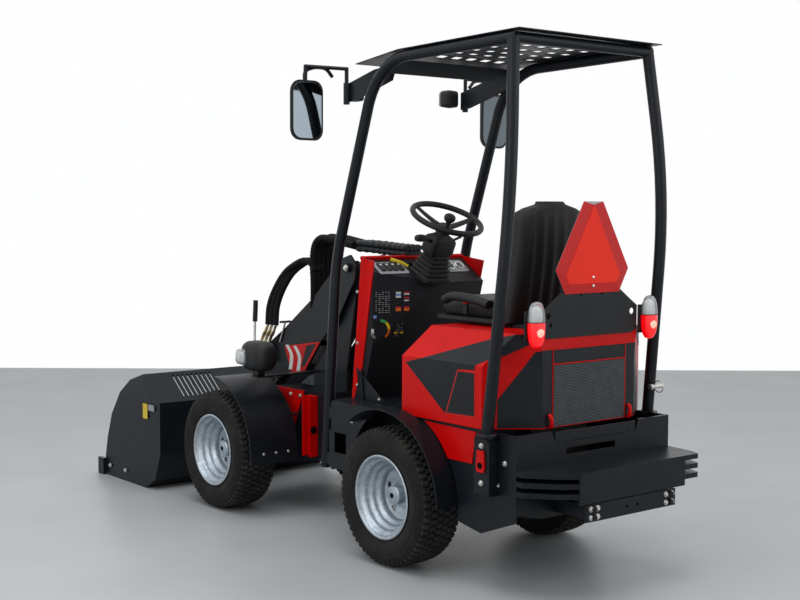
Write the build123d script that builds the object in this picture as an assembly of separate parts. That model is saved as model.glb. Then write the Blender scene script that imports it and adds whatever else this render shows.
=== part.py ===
from build123d import *
import math
import os

# Mini wheel loader, articulated in the middle, on four turf tyres.
# Lengths in mm. While modelling, x runs forward from the rear axle, y to the left and z up
# from the ground. The export moves the origin to the middle of the plan.

# Driving dimensions of the whole machine
WHEELBASE = 1355
REAR_OVERHANG = 905
HITCH_AHEAD = 385
BUCKET_SEAT = 82
BUCKET_DEPTH = 688
OVERALL_HEIGHT = 2160
FRONT_REACH = HITCH_AHEAD + BUCKET_SEAT + BUCKET_DEPTH
ORIGIN_X = (WHEELBASE + FRONT_REACH - REAR_OVERHANG) / 2

# Fits and gaps
SEAT_GAP = 0.3
RUN_GAP = 0.05

# Wheels
TYRE_R = 292
TYRE_W = 210
WHEEL_Y = 435
FLANGE_R = 170
RIM_W = 184
RIM_LIP = 24
STEP_Y = 52
STEP_R = 18
DISC_INSET = 115
DISC_T = 10
HUB_R = 62
HUB_L = 60
CAP_R = 40
CAP_L = 46
SPINDLE_R = 20
SPINDLE_L = 50
VENTS = 5
VENT_R = 15
VENT_PITCH_R = 82
BEAM_HALF = 42
HOUSING_HALF = 84

# Rear frame
PLATE = 12
SPINE_Y = 206
SPINE_LOW = 250
SPINE_TOP = 600
REAR_PLATE_X = -702
BULKHEAD_X = 522
FRAME_TOP = 632
WING_Y = 436
WING_T = 8
WELL_R = 372
FLOOR_T = 8

# Deck
DECK_Z = 628
DECK_T = 6
DECK_Y = 420
DECK_FRONT = 520
DECK_REAR = -20
SKIRT_Z = 496
SKIRT_T = 8

# Articulation joint
PIVOT_X = BULKHEAD_X + PLATE + 206
PIN_R = 22
LUG_T = 20
LUG_GAP = 1
LUG_LOW_Z = 330
LUG_HIGH_Z = 520
LUG_R = 52
LUG_ROOT_Y = 120

# Front frame, from the pivot and from the front axle
FRONT_BACK_X = PIVOT_X + 105
FRONT_NOSE_X = WHEELBASE + 205
FRONT_PLATE_Y = 212
FRONT_TOP = 600
FRONT_LOW = 262
TOWER_Y = 82

# Loader arm pins, as x and z
BOOM_PIN = (PIVOT_X + 60, 1200)
LIFT_BASE = (FRONT_BACK_X + 51, 370)
LIFT_EYE = (BOOM_PIN[0] + 240, 965)
HITCH_PIN = (WHEELBASE + HITCH_AHEAD, 235)
TILT_BASE = (HITCH_PIN[0] - 450, 790)
TILT_EYE = (HITCH_PIN[0] + 5, 385)
ARM_PIN_R = 15
BOOM_Y = 107
CHEEK_T = 12
HITCH_HUB_R = 40

# Steering cylinder pins, as x and y
STEER_BASE = (BULKHEAD_X + 53, -135)
STEER_EYE = (FRONT_BACK_X + 125, -130)
STEER_Z = 430
STEER_PIN_R = 10

# Canopy
TUBE_R = 24
HOOP_Y = 380
HOOP_FOOT = (600, 310)
HOOP_KNEE = (520, 1260)
POST_X = -565
POST_Y = WING_Y + TUBE_R + 2
POST_Z = 608
POST_BEND = (-661, WING_Y)
POST_BEND_DROP = 620
POST_TOP_X = -606
FOOT_HALF = 42
ROOF_REAR_X = -661
ROOF_FRONT_X = 349
ROOF_BEND_X = 60
ROOF_T = 4
ROOF_Y = 404
ROOF_FALL = 0.023
ROOF_REAR_Z = OVERALL_HEIGHT - TUBE_R - ROOF_T - SEAT_GAP - 3
MIRROR_DROP = 254
LAMP_DROP = 160

# Engine hood
HOOD_Y = 450
HOOD_Z = 637
HOOD_EDGE_Z = 880
HOOD_TOP_Z = 1005
HOOD_FRONT_X = -35
HOOD_REAR_X = -660
HOOD_WALL = 5
HOOD_HINGE = (HOOD_FRONT_X - 23, 655)
HINGE_PIN_R = 6
HINGE_Y = 190
GRILLE_Y = 205
GRILLE_Z = (645, 883)

# Leg shield and console, as x and z
TUB_T = 5
TUB_Y = 300
TUB_FOOT = (512, DECK_Z + SEAT_GAP)
TUB_TOP = (446, 1262)

# Steering column, raked back from its base to the wheel, in the x and z plane
COLUMN_BASE = (330, 1177)
COLUMN_RAKE = 24.8
WHEEL_DIST = 288
STEER_WHEEL_R = 172
GRIP_R = 14
HUB_DROP = 29

# Bucket
BUCKET_Y = 565
BUCKET_T = 8
BUCKET_BACK_X = HITCH_PIN[0] + BUCKET_SEAT
BUCKET_LIP_X = BUCKET_BACK_X + BUCKET_DEPTH


def box(x, y, z):
    """Block between pairs of low and high values."""
    size = (x[1] - x[0], y[1] - y[0], z[1] - z[0])
    middle = ((x[0] + x[1]) / 2, (y[0] + y[1]) / 2, (z[0] + z[1]) / 2)
    return Pos(*middle) * Box(*size)


def side_plate(outline, y, thick):
    """Plate with an outline of (x, z) points, its middle at y."""
    face = Plane.XZ * make_face(Polyline(*outline, close=True))
    return Pos(0, y, 0) * extrude(face, thick / 2, both=True)


def cross_plate(outline, x, thick):
    """Plate with an outline of (y, z) points, its middle at x."""
    face = Plane.YZ * make_face(Polyline(*outline, close=True))
    return Pos(x, 0, 0) * extrude(face, thick / 2, both=True)


def flat_plate(outline, z, thick):
    """Plate with an outline of (x, y) points, its middle at z."""
    face = make_face(Polyline(*outline, close=True))
    return Pos(0, 0, z) * extrude(face, thick / 2, both=True)


def cut_corners(low, high, cut):
    """Outline of a rectangle between two corner points, with its four corners cut off."""
    return [
        (low[0] + cut, low[1]), (high[0] - cut, low[1]), (high[0], low[1] + cut),
        (high[0], high[1] - cut), (high[0] - cut, high[1]), (low[0] + cut, high[1]),
        (low[0], high[1] - cut), (low[0], low[1] + cut),
    ]


def bar(start, end, radius):
    """Round bar between two points."""
    start = Vector(*start)
    end = Vector(*end)
    axis = end - start
    low = (Align.CENTER, Align.CENTER, Align.MIN)
    return Plane(start, z_dir=axis) * Cylinder(radius, axis.length, align=low)


def hex_bar(start, end, radius):
    """Six-sided bar between two points, as a nut or a bolt head."""
    start = Vector(*start)
    axis = Vector(*end) - start
    return Plane(start, z_dir=axis) * extrude(RegularPolygon(radius, 6), axis.length)


def cross_pin(x, z, low_y, high_y, radius):
    """Round pin that lies across the machine."""
    return bar((x, low_y, z), (x, high_y, z), radius)


def tube(points, radii, radius):
    """Round bar bent along straight runs and tangent arcs."""
    path = FilletPolyline(*points, radius=radii)
    return sweep((path ^ 0) * Circle(radius), path=path)


def ring(section):
    """Solid of revolution about the wheel's axis from (radius, offset) points."""
    return revolve(make_face(Polyline(*section, close=True)), Axis.Y)


def both_sides(shape):
    """The shape and its mirror image on the other side of the machine."""
    return [shape, mirror(shape, about=Plane.XZ)]


def fuse(parts):
    """One shape from a list of touching parts."""
    whole = parts[0]
    for part in parts[1:]:
        whole = whole + part
    return whole


def save(name, *shapes):
    """Write one node from its solids, moved to the middle of the plan."""
    solids = []
    for shape in shapes:
        solids.extend(shape.solids())
    node = solids[0] if len(solids) == 1 else Compound(children=solids)
    export_step(Pos(-ORIGIN_X, 0, 0) * node, f"parts/{name}.step")


# Wheels and axles

def tyre(x, side):
    """Wide ring tyre that sits round the rim."""
    half = TYRE_W / 2
    bore = FLANGE_R + SEAT_GAP
    section = [(bore, -half), (bore, half), (TYRE_R, half), (TYRE_R, -half)]
    return Pos(x, side * WHEEL_Y, TYRE_R) * ring(section)


def rim(x, side):
    """Stepped rim with its deep disc and vents, the hub drum behind it and the hub cap."""
    half = RIM_W / 2
    disc = half - DISC_INSET
    back = disc - DISC_T
    drum = disc - DISC_T - HUB_L
    bore_end = drum + SPINDLE_L + 2
    inner = FLANGE_R - RIM_LIP
    section = [
        (SPINDLE_R + RUN_GAP, drum), (HUB_R, drum), (HUB_R, back), (inner, back), (inner, -half),
        (FLANGE_R, -half), (FLANGE_R, half), (inner, half), (inner, half - STEP_Y),
        (inner - STEP_R, half - STEP_Y), (inner - STEP_R, disc), (CAP_R, disc),
        (CAP_R, disc + CAP_L), (0, disc + CAP_L), (0, bore_end), (SPINDLE_R + RUN_GAP, bore_end),
    ]
    wheel = ring(section)
    for i in range(VENTS):
        vent = Pos(VENT_PITCH_R, 0, 0) * extrude(RegularPolygon(VENT_R, 3), half, both=True)
        wheel = wheel - Rot(90, 0, 0) * Rot(0, 0, 360 / VENTS * i) * vent
    if side < 0:
        wheel = mirror(wheel, about=Plane.XZ)
    return Pos(x, side * WHEEL_Y, TYRE_R) * wheel


def axle(x):
    """Square axle beam with its middle housing, end flanges and the spindles for the hubs."""
    end = WHEEL_Y + RIM_W / 2 - DISC_INSET - DISC_T - HUB_L - 1
    half = BEAM_HALF
    beam = Pos(x, 0, TYRE_R) * Box(2 * half, 2 * end, 2 * half)
    spindles = cross_pin(x, TYRE_R, -end - SPINDLE_L, end + SPINDLE_L, SPINDLE_R)
    low = (x - HOUSING_HALF, TYRE_R - HOUSING_HALF)
    high = (x + HOUSING_HALF, TYRE_R + HOUSING_HALF)
    housing = side_plate(cut_corners(low, high, 34), 0, 160)
    flanges = []
    for direction in (1, -1):
        outline = cut_corners((x - 66, TYRE_R - 66), (x + 66, TYRE_R + 66), 34)
        flanges.append(side_plate(outline, direction * (end - 9), 18))
    return fuse([beam, spindles, housing] + flanges)


def axle_window(x, y):
    """Square hole for the axle beam and room for its housing, to cut from a frame."""
    half = BEAM_HALF + SEAT_GAP
    hole = Pos(x, 0, TYRE_R) * Box(2 * half, 2 * y, 2 * half)
    room = Pos(x, 0, TYRE_R) * Box(2 * HOUSING_HALF + 10, 170, 2 * HOUSING_HALF + 10)
    return hole + room


# Rear frame

def arch_cut(radius, y_low, y_high):
    """Round clearance about the rear wheel, to cut what lies near it."""
    return cross_pin(0, TYRE_R, y_low, y_high, radius)


def lug(root_x, z, hole_r):
    """Tapered hinge plate with a cut nose, from a frame to the articulation pin."""
    ahead = math.copysign(LUG_R, PIVOT_X - root_x)
    outline = [
        (root_x, -LUG_ROOT_Y), (root_x, LUG_ROOT_Y), (PIVOT_X - ahead * 0.3, LUG_R),
        (PIVOT_X + ahead * 0.5, LUG_R), (PIVOT_X + ahead, LUG_R / 2), (PIVOT_X + ahead, -LUG_R / 2),
        (PIVOT_X + ahead * 0.5, -LUG_R), (PIVOT_X - ahead * 0.3, -LUG_R),
    ]
    plate = flat_plate(outline, z + LUG_T / 2, LUG_T)
    if hole_r > 0:
        plate = plate - Pos(PIVOT_X, 0, z + LUG_T / 2) * Cylinder(hole_r, LUG_T + 2)
    return plate


def hoop_x(z):
    """Place of the front post's centre line at a height, along its straight lower run."""
    share = (z - HOOP_FOOT[1]) / (HOOP_KNEE[1] - HOOP_FOOT[1])
    return HOOP_FOOT[0] + share * (HOOP_KNEE[0] - HOOP_FOOT[0])


def hinge_lug():
    """Upright lug of the hood's hinge with its pin, welded inside the frame's side."""
    x, z = HOOD_HINGE
    outline = [
        (x - 14, SPINE_TOP - 60), (x + 4, SPINE_TOP - 60), (x + 4, z - 14), (x + 10, z - 2),
        (x + 8, z + 8), (x, z + 12), (x - 10, z + 8),
    ]
    plate = side_plate(outline, HINGE_Y, PLATE)
    return plate + cross_pin(x, z, HINGE_Y - 42, HINGE_Y, HINGE_PIN_R)


def rear_chassis():
    """Welded rear frame, from the rear plate to the articulation lugs and their pin."""
    rear_inside = REAR_PLATE_X + PLATE
    spine_outline = [
        (REAR_PLATE_X, 300), (-520, SPINE_LOW), (BULKHEAD_X, SPINE_LOW),
        (BULKHEAD_X, FRAME_TOP - 16), (60, FRAME_TOP - 16), (20, SPINE_TOP - 40),
        (-60, SPINE_TOP - 40), (-100, SPINE_TOP), (REAR_PLATE_X, SPINE_TOP),
    ]
    spine = side_plate(spine_outline, SPINE_Y - PLATE / 2, PLATE)
    belly = box((-520, BULKHEAD_X), (-SPINE_Y, SPINE_Y), (SPINE_LOW, SPINE_LOW + FLOOR_T))
    rear_outline = [
        (-WING_Y, 330), (-300, 300), (300, 300), (WING_Y, 330), (WING_Y, FRAME_TOP),
        (250, FRAME_TOP), (230, 585), (-230, 585), (-250, FRAME_TOP), (-WING_Y, FRAME_TOP),
    ]
    rear = cross_plate(rear_outline, REAR_PLATE_X + PLATE / 2, PLATE)
    rear = rear - box((REAR_PLATE_X - 1, rear_inside + 1), (-110, 170), (535, 560))
    wing_outline = [
        (REAR_PLATE_X + 2, 300), (-507, 226), (-300, 262), (-140, 500), (-140, FRAME_TOP),
        (REAR_PLATE_X + 2, FRAME_TOP),
    ]
    wing = side_plate(wing_outline, WING_Y - WING_T / 2, WING_T)
    wing = wing - arch_cut(WELL_R, WING_Y - 2 * WING_T, WING_Y + WING_T)
    floor = box((rear_inside - 1, POST_X + 145), (SPINE_Y - 1, WING_Y - 1), (396, 396 + FLOOR_T))
    foot_x = (POST_X - FOOT_HALF, POST_X + FOOT_HALF)
    foot = box(foot_x, (WING_Y - 2, WING_Y + 52), (392, POST_Z - 8))
    foot = foot - box((foot_x[0] + 12, foot_x[1] - 12), (WING_Y + 8, WING_Y + 60), (380, POST_Z - 18))
    pod_outline = [(340, 323), (BULKHEAD_X, 323), (BULKHEAD_X, SKIRT_Z), (300, SKIRT_Z)]
    pod = side_plate(pod_outline, DECK_Y - SKIRT_T / 2, SKIRT_T)
    pod = pod - arch_cut(WELL_R, DECK_Y - 2 * SKIRT_T, DECK_Y + SKIRT_T)
    pod = pod - box((395, 482), (DECK_Y - 20, DECK_Y + 2), (397, 488))
    pod_floor = box((375, BULKHEAD_X), (SPINE_Y - 1, DECK_Y - 1), (323, 323 + FLOOR_T))
    bulkhead = box((BULKHEAD_X, BULKHEAD_X + PLATE), (-400, 400), (310, FRAME_TOP - 14))
    halves = [spine, wing, floor, foot, pod, pod_floor, hinge_lug()]
    for low, high in ((330, 380), (540, 590)):
        reach_low = hoop_x(low) - TUBE_R - SEAT_GAP
        reach_high = hoop_x(high) - TUBE_R - SEAT_GAP
        face = [(BULKHEAD_X + 2, low), (BULKHEAD_X + 2, high), (reach_high, high), (reach_low, low)]
        halves.append(side_plate(face, HOOP_Y, 36))
    parts = [belly, rear, bulkhead]
    for half in halves:
        parts.extend(both_sides(half))
    frame = fuse(parts) - axle_window(0, SPINE_Y + 1)
    lug_root = BULKHEAD_X + PLATE - 1
    lugs = [lug(lug_root, LUG_LOW_Z, 0), lug(lug_root, LUG_HIGH_Z, 0)]
    pin = bar((PIVOT_X, 0, LUG_LOW_Z - 14), (PIVOT_X, 0, LUG_HIGH_Z + LUG_T + 14), PIN_R)
    steer_x = (BULKHEAD_X + 4, STEER_BASE[0] + 18)
    steer_y = (STEER_BASE[1] - 20, STEER_BASE[1] + 20)
    for z in (STEER_Z - 40, STEER_Z + 28):
        lugs.append(box(steer_x, steer_y, (z, z + 12)))
    steer_pin = bar((*STEER_BASE, STEER_Z - 44), (*STEER_BASE, STEER_Z + 44), STEER_PIN_R)
    return fuse([frame, pin, steer_pin] + lugs)


def foot_deck():
    """Folded floor pan with its side skirts, and the corners cut back for the posts."""
    corner = DECK_FRONT - 26
    outline = [
        (DECK_REAR, -DECK_Y), (corner, -DECK_Y), (DECK_FRONT, -DECK_Y + 26),
        (DECK_FRONT, DECK_Y - 26), (corner, DECK_Y), (DECK_REAR, DECK_Y),
    ]
    top = flat_plate(outline, DECK_Z - DECK_T / 2, DECK_T)
    skirt_z = (SKIRT_Z + SEAT_GAP, DECK_Z - DECK_T + 1)
    skirt = box((DECK_REAR, corner), (DECK_Y - SKIRT_T, DECK_Y), skirt_z)
    skirt = skirt - arch_cut(WELL_R, DECK_Y - 2 * SKIRT_T, DECK_Y + SKIRT_T)
    brace = [(TUB_FOOT[0] - 32, DECK_Z - 1), (TUB_FOOT[0] - 100, DECK_Z - 1), (TUB_TOP[0] - 16, 770)]
    plate = side_plate(brace, TUB_Y + 8, 5)
    return fuse([top, plate] + both_sides(skirt))


PANEL_T = 4
EYE_R = 11


def side_panels():
    """Painted lower side panels behind the rear wheels, and the tow eyes on the post feet."""
    outline = [(-120, 626), (-478, 620), (-458, 492), (-200, 492)]
    panel = side_plate(outline, WING_Y + SEAT_GAP + PANEL_T / 2, PANEL_T)
    panel = panel - arch_cut(WELL_R, WING_Y, WING_Y + 2 * PANEL_T + SEAT_GAP)
    eye_y = (WING_Y + 8 + SEAT_GAP, WING_Y + 24)
    eye_outline = [(POST_X - 18, 560), (POST_X + 18, 560), (POST_X + 24, 485), (POST_X - 24, 485)]
    eye = side_plate(eye_outline, sum(eye_y) / 2, eye_y[1] - eye_y[0])
    eye = eye - cross_pin(POST_X, 505, eye_y[0] - 1, eye_y[1] + 1, EYE_R)
    return both_sides(panel) + both_sides(eye)


FENDER_GAP = 70
FENDER_T = 5
FENDER_Y = 540


def arc_fender(x, radius, start, end, y_low):
    """Strip of sheet bent round an axle between two angles, measured up from forward."""
    strip = cross_pin(x, TYRE_R, y_low, FENDER_Y, radius + FENDER_T)
    strip = strip - cross_pin(x, TYRE_R, y_low - 1, FENDER_Y + 1, radius)
    reach = 2 * radius
    points = [(x, TYRE_R)]
    for angle in (start, (start + end) / 2 - 1, (start + end) / 2 + 1, end):
        turn = math.radians(angle)
        points.append((x + reach * math.cos(turn), TYRE_R + reach * math.sin(turn)))
    return strip & side_plate(points, (y_low + FENDER_Y) / 2, FENDER_Y - y_low)


def rear_fenders():
    """Bent strips over the rear wheels, with a relief where the hood's edge hangs."""
    strip = arc_fender(0, TYRE_R + FENDER_GAP, 52, 178, DECK_Y + SEAT_GAP)
    relief = box((-560, HOOD_FRONT_X + 30), (DECK_Y - 1, HOOD_Y + 6), (FRAME_TOP - 9, 800))
    panel_y = (DECK_Y - 1, WING_Y + PANEL_T + 2 * SEAT_GAP)
    return both_sides(strip - relief - box((-560, -100), panel_y, (200, 700)))


def tub_x(z):
    """Place of the leg shield's front face at a height."""
    share = (z - TUB_FOOT[1]) / (TUB_TOP[1] - TUB_FOOT[1])
    return TUB_FOOT[0] + share * (TUB_TOP[0] - TUB_FOOT[0])


def dash_tub():
    """Painted leg shield, a front wall that leans back between two side walls."""
    inner = [(TUB_TOP[0] - TUB_T, TUB_TOP[1]), (TUB_FOOT[0] - TUB_T, TUB_FOOT[1])]
    front = side_plate([TUB_FOOT, TUB_TOP] + inner, 0, 2 * TUB_Y)
    left = [TUB_FOOT, TUB_TOP, (TUB_TOP[0] - 94, TUB_TOP[1] - 12), (TUB_FOOT[0] - 50, TUB_FOOT[1])]
    right = [TUB_FOOT, TUB_TOP, (TUB_TOP[0] - 156, TUB_TOP[1] - 18), (TUB_FOOT[0] - 60, TUB_FOOT[1])]
    left_wall = side_plate(left, TUB_Y - TUB_T / 2, TUB_T)
    right_wall = side_plate(right, TUB_T / 2 - TUB_Y, TUB_T)
    return fuse([front, left_wall, right_wall])


CONSOLE_SLOPE = 0.66


def console_z(x):
    """Height of the console's slanted top at a place along the machine."""
    return TUB_TOP[1] - 12 + CONSOLE_SLOPE * (x - TUB_TOP[0] + 6)


def console_body(inset, low, drop):
    """Wedge under the slanted top, its rear face turned towards the driver."""
    side = TUB_Y - TUB_T - SEAT_GAP - inset
    outline = [(600, side), (TUB_TOP[0] - 77 + inset, side), (TUB_TOP[0] - 221 + inset, -side), (600, -side)]
    prism = extrude(Pos(0, 0, low) * make_face(Polyline(*outline, close=True)), TUB_TOP[1] - low)
    knee = (TUB_TOP[0] - 156 + inset, console_z(TUB_TOP[0] - 156) - drop)
    foot = (TUB_FOOT[0] - 72 + inset, low)
    behind = [knee, foot, (0, low), (0, knee[1])]
    above = [(600, console_z(600) - drop), (100, console_z(100) - drop), (100, 1500), (600, 1500)]
    return prism - side_plate(behind, 0, 1000) - side_plate(above, 0, 1000)


def console():
    """Dark console behind the tub, a thin shell open to the front and below."""
    shell = console_body(0, DECK_Z + SEAT_GAP, 0)
    shell = shell - console_body(6, DECK_Z - 5, 7)
    lean = TUB_T + SEAT_GAP
    ahead = [(TUB_FOOT[0] - lean, TUB_FOOT[1]), (TUB_TOP[0] - lean, TUB_TOP[1]), (700, TUB_TOP[1]), (700, 600)]
    return shell - side_plate(ahead, 0, 1000)


def column_frame():
    """Plane on the console with its Z along the raked steering column."""
    rake = math.radians(COLUMN_RAKE)
    direction = (-math.sin(rake), 0, math.cos(rake))
    return Plane(origin=(COLUMN_BASE[0], 0, COLUMN_BASE[1]), x_dir=(0, 1, 0), z_dir=direction)


PLEATS = 6
BOOT_H = 118
BOOT_BASE = 74
BOOT_TOP = 46


def steering_column():
    """Square pleated boot, switch housing, stalk and the top of the column."""
    sections = [Pos(0, 0, -50) * Rectangle(2 * BOOT_BASE, 2 * BOOT_BASE)]
    for i in range(PLEATS):
        share = i / PLEATS
        half = BOOT_BASE + (BOOT_TOP - BOOT_BASE) * share
        ridge = 6 + BOOT_H * (i + 0.35) / PLEATS
        valley = 6 + BOOT_H * (i + 0.8) / PLEATS
        sections.append(Pos(0, 0, ridge) * Rectangle(2 * half, 2 * half))
        sections.append(Pos(0, 0, valley) * Rectangle(2 * half - 16, 2 * half - 16))
    boot = loft(sections, ruled=True)
    housing_face = make_face(Polyline(*cut_corners((-56, -43), (56, 43), 20), close=True))
    housing = Pos(0, 0, BOOT_H) * extrude(housing_face, 88)
    neck = bar((0, 0, BOOT_H), (0, 0, WHEEL_DIST - HUB_DROP - SEAT_GAP), 26)
    stalk_z = BOOT_H + 60
    stalk = hex_bar((50, 10, stalk_z), (130, 24, stalk_z + 24), 7)
    stalk_end = hex_bar((126, 22, stalk_z + 23), (160, 28, stalk_z + 32), 12)
    column = column_frame() * fuse([boot, housing, neck, stalk, stalk_end])
    below = [
        (100, console_z(100) + SEAT_GAP), (600, console_z(600) + SEAT_GAP), (600, 800), (100, 800),
    ]
    return column - side_plate(below, 0, 1000)


def steering_wheel():
    """Six-sided rim section turned to a ring, three spokes, hub and the spinner knob."""
    mid_r = STEER_WHEEL_R - GRIP_R
    section = Plane.XZ * (Pos(mid_r, 0) * RegularPolygon(GRIP_R, 6))
    parts = [revolve(section, Axis.Z), bar((0, 0, -HUB_DROP), (0, 0, 5), 34)]
    for angle in (90, 210, 330):
        spoke = box((0, mid_r - 2), (-10, 10), (-16, -2))
        parts.append(Rot(0, 0, angle) * spoke)
    knob_turn = math.radians(-100)
    knob_x = mid_r * math.cos(knob_turn)
    knob_y = mid_r * math.sin(knob_turn)
    parts.append(hex_bar((knob_x, knob_y, 0), (knob_x, knob_y, 40), 10))
    parts.append(bar((knob_x, knob_y, 35), (knob_x, knob_y, 61), 22))
    return column_frame() * Pos(0, 0, WHEEL_DIST) * fuse(parts)


# Canopy

def roof_z(x):
    """Height of the hoop tubes' centre line at a place along the roof."""
    return ROOF_REAR_Z - ROOF_FALL * (x - ROOF_REAR_X)


def canopy_frame():
    """Four posts of round tube, the roof hoops, the cross tubes and the mirror arms."""
    top_z = roof_z(POST_TOP_X)
    hoop_points = [
        (POST_TOP_X - 12, HOOP_Y, roof_z(POST_TOP_X - 12)),
        (224, HOOP_Y, roof_z(224)),
        (HOOP_KNEE[0], HOOP_Y, HOOP_KNEE[1]),
        (HOOP_FOOT[0], HOOP_Y, HOOP_FOOT[1]),
    ]
    hoop = tube(hoop_points, [290, 900], TUBE_R)
    post_points = [
        (POST_X, POST_Y, POST_Z),
        (POST_BEND[0], POST_BEND[1], OVERALL_HEIGHT - POST_BEND_DROP),
        (POST_TOP_X, HOOP_Y, top_z),
    ]
    post = tube(post_points, [3000], TUBE_R)
    foot_z = (POST_Z - 8 + SEAT_GAP, POST_Z + 4)
    foot = box((POST_X - 36, POST_X + 36), (POST_Y - 19, POST_Y + 33), foot_z)
    rear_tube = cross_pin(POST_TOP_X, top_z, -HOOP_Y, HOOP_Y, TUBE_R - 2)
    front_x = 150
    front_z = roof_z(front_x)
    front_plate = box((front_x, front_x + 8), (-HOOP_Y, HOOP_Y), (front_z - 60, front_z + 2))
    arm_outline = [
        (front_x, front_z - 20), (300, front_z - 30), (500, front_z - 80), (500, front_z - 160),
        (440, front_z - 155), (front_x + 30, front_z - 85),
    ]
    arm_plate = side_plate(arm_outline, HOOP_Y - 44, 8)
    arm_x = 487
    arm_y = HOOP_Y - 30
    clamp = hex_bar((arm_x, arm_y, front_z - 170), (arm_x, arm_y, front_z - 76), 14)
    mirror_top = OVERALL_HEIGHT - MIRROR_DROP + MIRROR_H / 2
    arm_z = OVERALL_HEIGHT - 64
    arm = fuse([
        hex_bar((arm_x, arm_y, front_z - 80), (arm_x, arm_y, arm_z + 6), 9),
        hex_bar((arm_x, arm_y - 4, arm_z), (512, MIRROR_Y + 4, arm_z), 9),
        hex_bar((512, MIRROR_Y, arm_z + 6), (515, MIRROR_Y, mirror_top + 2 * SEAT_GAP), 9),
    ])
    parts = []
    for part in [hoop, post, foot, arm_plate, clamp, arm]:
        parts.extend(both_sides(part))
    return fuse(parts + [rear_tube, front_plate])


SLOT_ROWS = 7
SLOT_COLUMNS = 8
SLOT_PITCH_X = 108
SLOT_PITCH_Y = 84


def canopy_roof():
    """Thin roof sheet with a bent front edge and rows of slots."""
    rise = TUBE_R + SEAT_GAP
    low = [
        (ROOF_REAR_X, roof_z(ROOF_REAR_X) + rise),
        (ROOF_BEND_X, roof_z(ROOF_BEND_X) + rise),
        (ROOF_FRONT_X, roof_z(ROOF_BEND_X) + rise - 36),
    ]
    high = [(x, z + ROOF_T) for x, z in low]
    sheet = side_plate(low + high[::-1], 0, 2 * ROOF_Y)
    slots = []
    for row in range(SLOT_ROWS):
        for column in range(SLOT_COLUMNS):
            x = ROOF_REAR_X + 116 + SLOT_PITCH_X * row
            y = SLOT_PITCH_Y * (column - (SLOT_COLUMNS - 1) / 2)
            slots.append(box((x - 24, x + 24), (y - 26, y + 26), (low[2][1] - 50, low[0][1] + 50)))
    return sheet - Compound(children=slots)


MIRROR_Y = 552
MIRROR_W = 168
MIRROR_H = 262


def mirrors():
    """Two rounded mirror heads that face the driver."""
    head = Pos(517, MIRROR_Y, OVERALL_HEIGHT - MIRROR_DROP) * Box(44, MIRROR_W, MIRROR_H)
    head = fillet(head.edges().filter_by(Axis.X), 40)
    return both_sides(head)


def work_lamps():
    """Two square lamps on the roof brackets, facing forward."""
    z = OVERALL_HEIGHT - LAMP_DROP
    outline = cut_corners((234, z - 44), (326, z + 44), 16)
    body = cross_plate(outline, 520, 66)
    stub = box((498, 512), (320, HOOP_Y - 44 - 4 - SEAT_GAP), (z - 8, z + 8))
    return both_sides(body + stub)


# Engine, hood and seat

ENGINE_X = (-500, -90)
ENGINE_Y = 165
ENGINE_TOP = 830


def engine_block():
    """The engine's mass as one plain block at its real place."""
    low_z = SPINE_LOW + FLOOR_T + SEAT_GAP
    block = box(ENGINE_X, (-ENGINE_Y, ENGINE_Y), (low_z + 60, ENGINE_TOP))
    feet = box((ENGINE_X[0] + 60, ENGINE_X[1] - 150), (-120, 120), (low_z, low_z + 61))
    return block + feet


def hood_section(x_front, side, corner_x, rear_half, inset, z):
    """Plan of the hood at one height, as a face."""
    front = x_front - inset
    rear = HOOD_REAR_X + inset
    outline = [
        (front, inset - side), (front, side - inset), (corner_x, side - inset),
        (rear, rear_half - inset), (rear, inset - rear_half), (corner_x, inset - side),
    ]
    return Pos(0, 0, z) * make_face(Polyline(*outline, close=True))


def hood_solid(inset):
    """Body of the hood, a box with a bevelled upper part, smaller by the inset."""
    low_z = HOOD_Z if inset == 0 else HOOD_Z - 5
    low = hood_section(HOOD_FRONT_X, HOOD_Y, -522, 262, inset, low_z)
    edge = hood_section(HOOD_FRONT_X, HOOD_Y, -522, 262, inset, HOOD_EDGE_Z)
    top = hood_section(HOOD_FRONT_X - 70, 350, -605, 275, inset, HOOD_TOP_Z - inset)
    return loft([low, edge], ruled=True) + loft([edge, top], ruled=True)


def hood_shell():
    """Hollow engine hood with the window for the rear grille and its hinge knuckles."""
    shell = hood_solid(0) - hood_solid(HOOD_WALL)
    shell = shell - box((HOOD_REAR_X - 5, HOOD_REAR_X + 12), (-GRILLE_Y, GRILLE_Y), GRILLE_Z)
    knuckle_y = (HINGE_Y - 40, HINGE_Y - PLATE / 2 - 2)
    knuckle_x = (HOOD_HINGE[0] - 12, HOOD_FRONT_X - HOOD_WALL + 1)
    knuckle = box(knuckle_x, knuckle_y, (HOOD_HINGE[1] - 12, HOOD_HINGE[1] + 12))
    bore_r = HINGE_PIN_R + RUN_GAP
    knuckle = knuckle - cross_pin(*HOOD_HINGE, knuckle_y[0] - 1, knuckle_y[1] + 1, bore_r)
    return fuse([shell] + both_sides(knuckle))


LOUVRES = 17


def grille():
    """Frame with upright louvres that fills the hood's rear window."""
    x = (HOOD_REAR_X, HOOD_REAR_X + 8)
    y = GRILLE_Y - SEAT_GAP
    frame = box(x, (-y, y), (GRILLE_Z[0] + SEAT_GAP, GRILLE_Z[1] - SEAT_GAP))
    clear = 2 * (GRILLE_Y - 14)
    pitch = clear / LOUVRES
    slots = []
    for i in range(LOUVRES):
        middle = -clear / 2 + pitch * (i + 0.5)
        slot_y = (middle - pitch * 0.36, middle + pitch * 0.36)
        slots.append(box((x[0] - 1, x[1] + 1), slot_y, (GRILLE_Z[0] + 14, GRILLE_Z[1] - 14)))
    return frame - Compound(children=slots)


SEAT_FOOT_Z = HOOD_TOP_Z + SEAT_GAP
SEAT_PAN_Z = SEAT_FOOT_Z + 15
SEAT_HALF = 225


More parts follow.
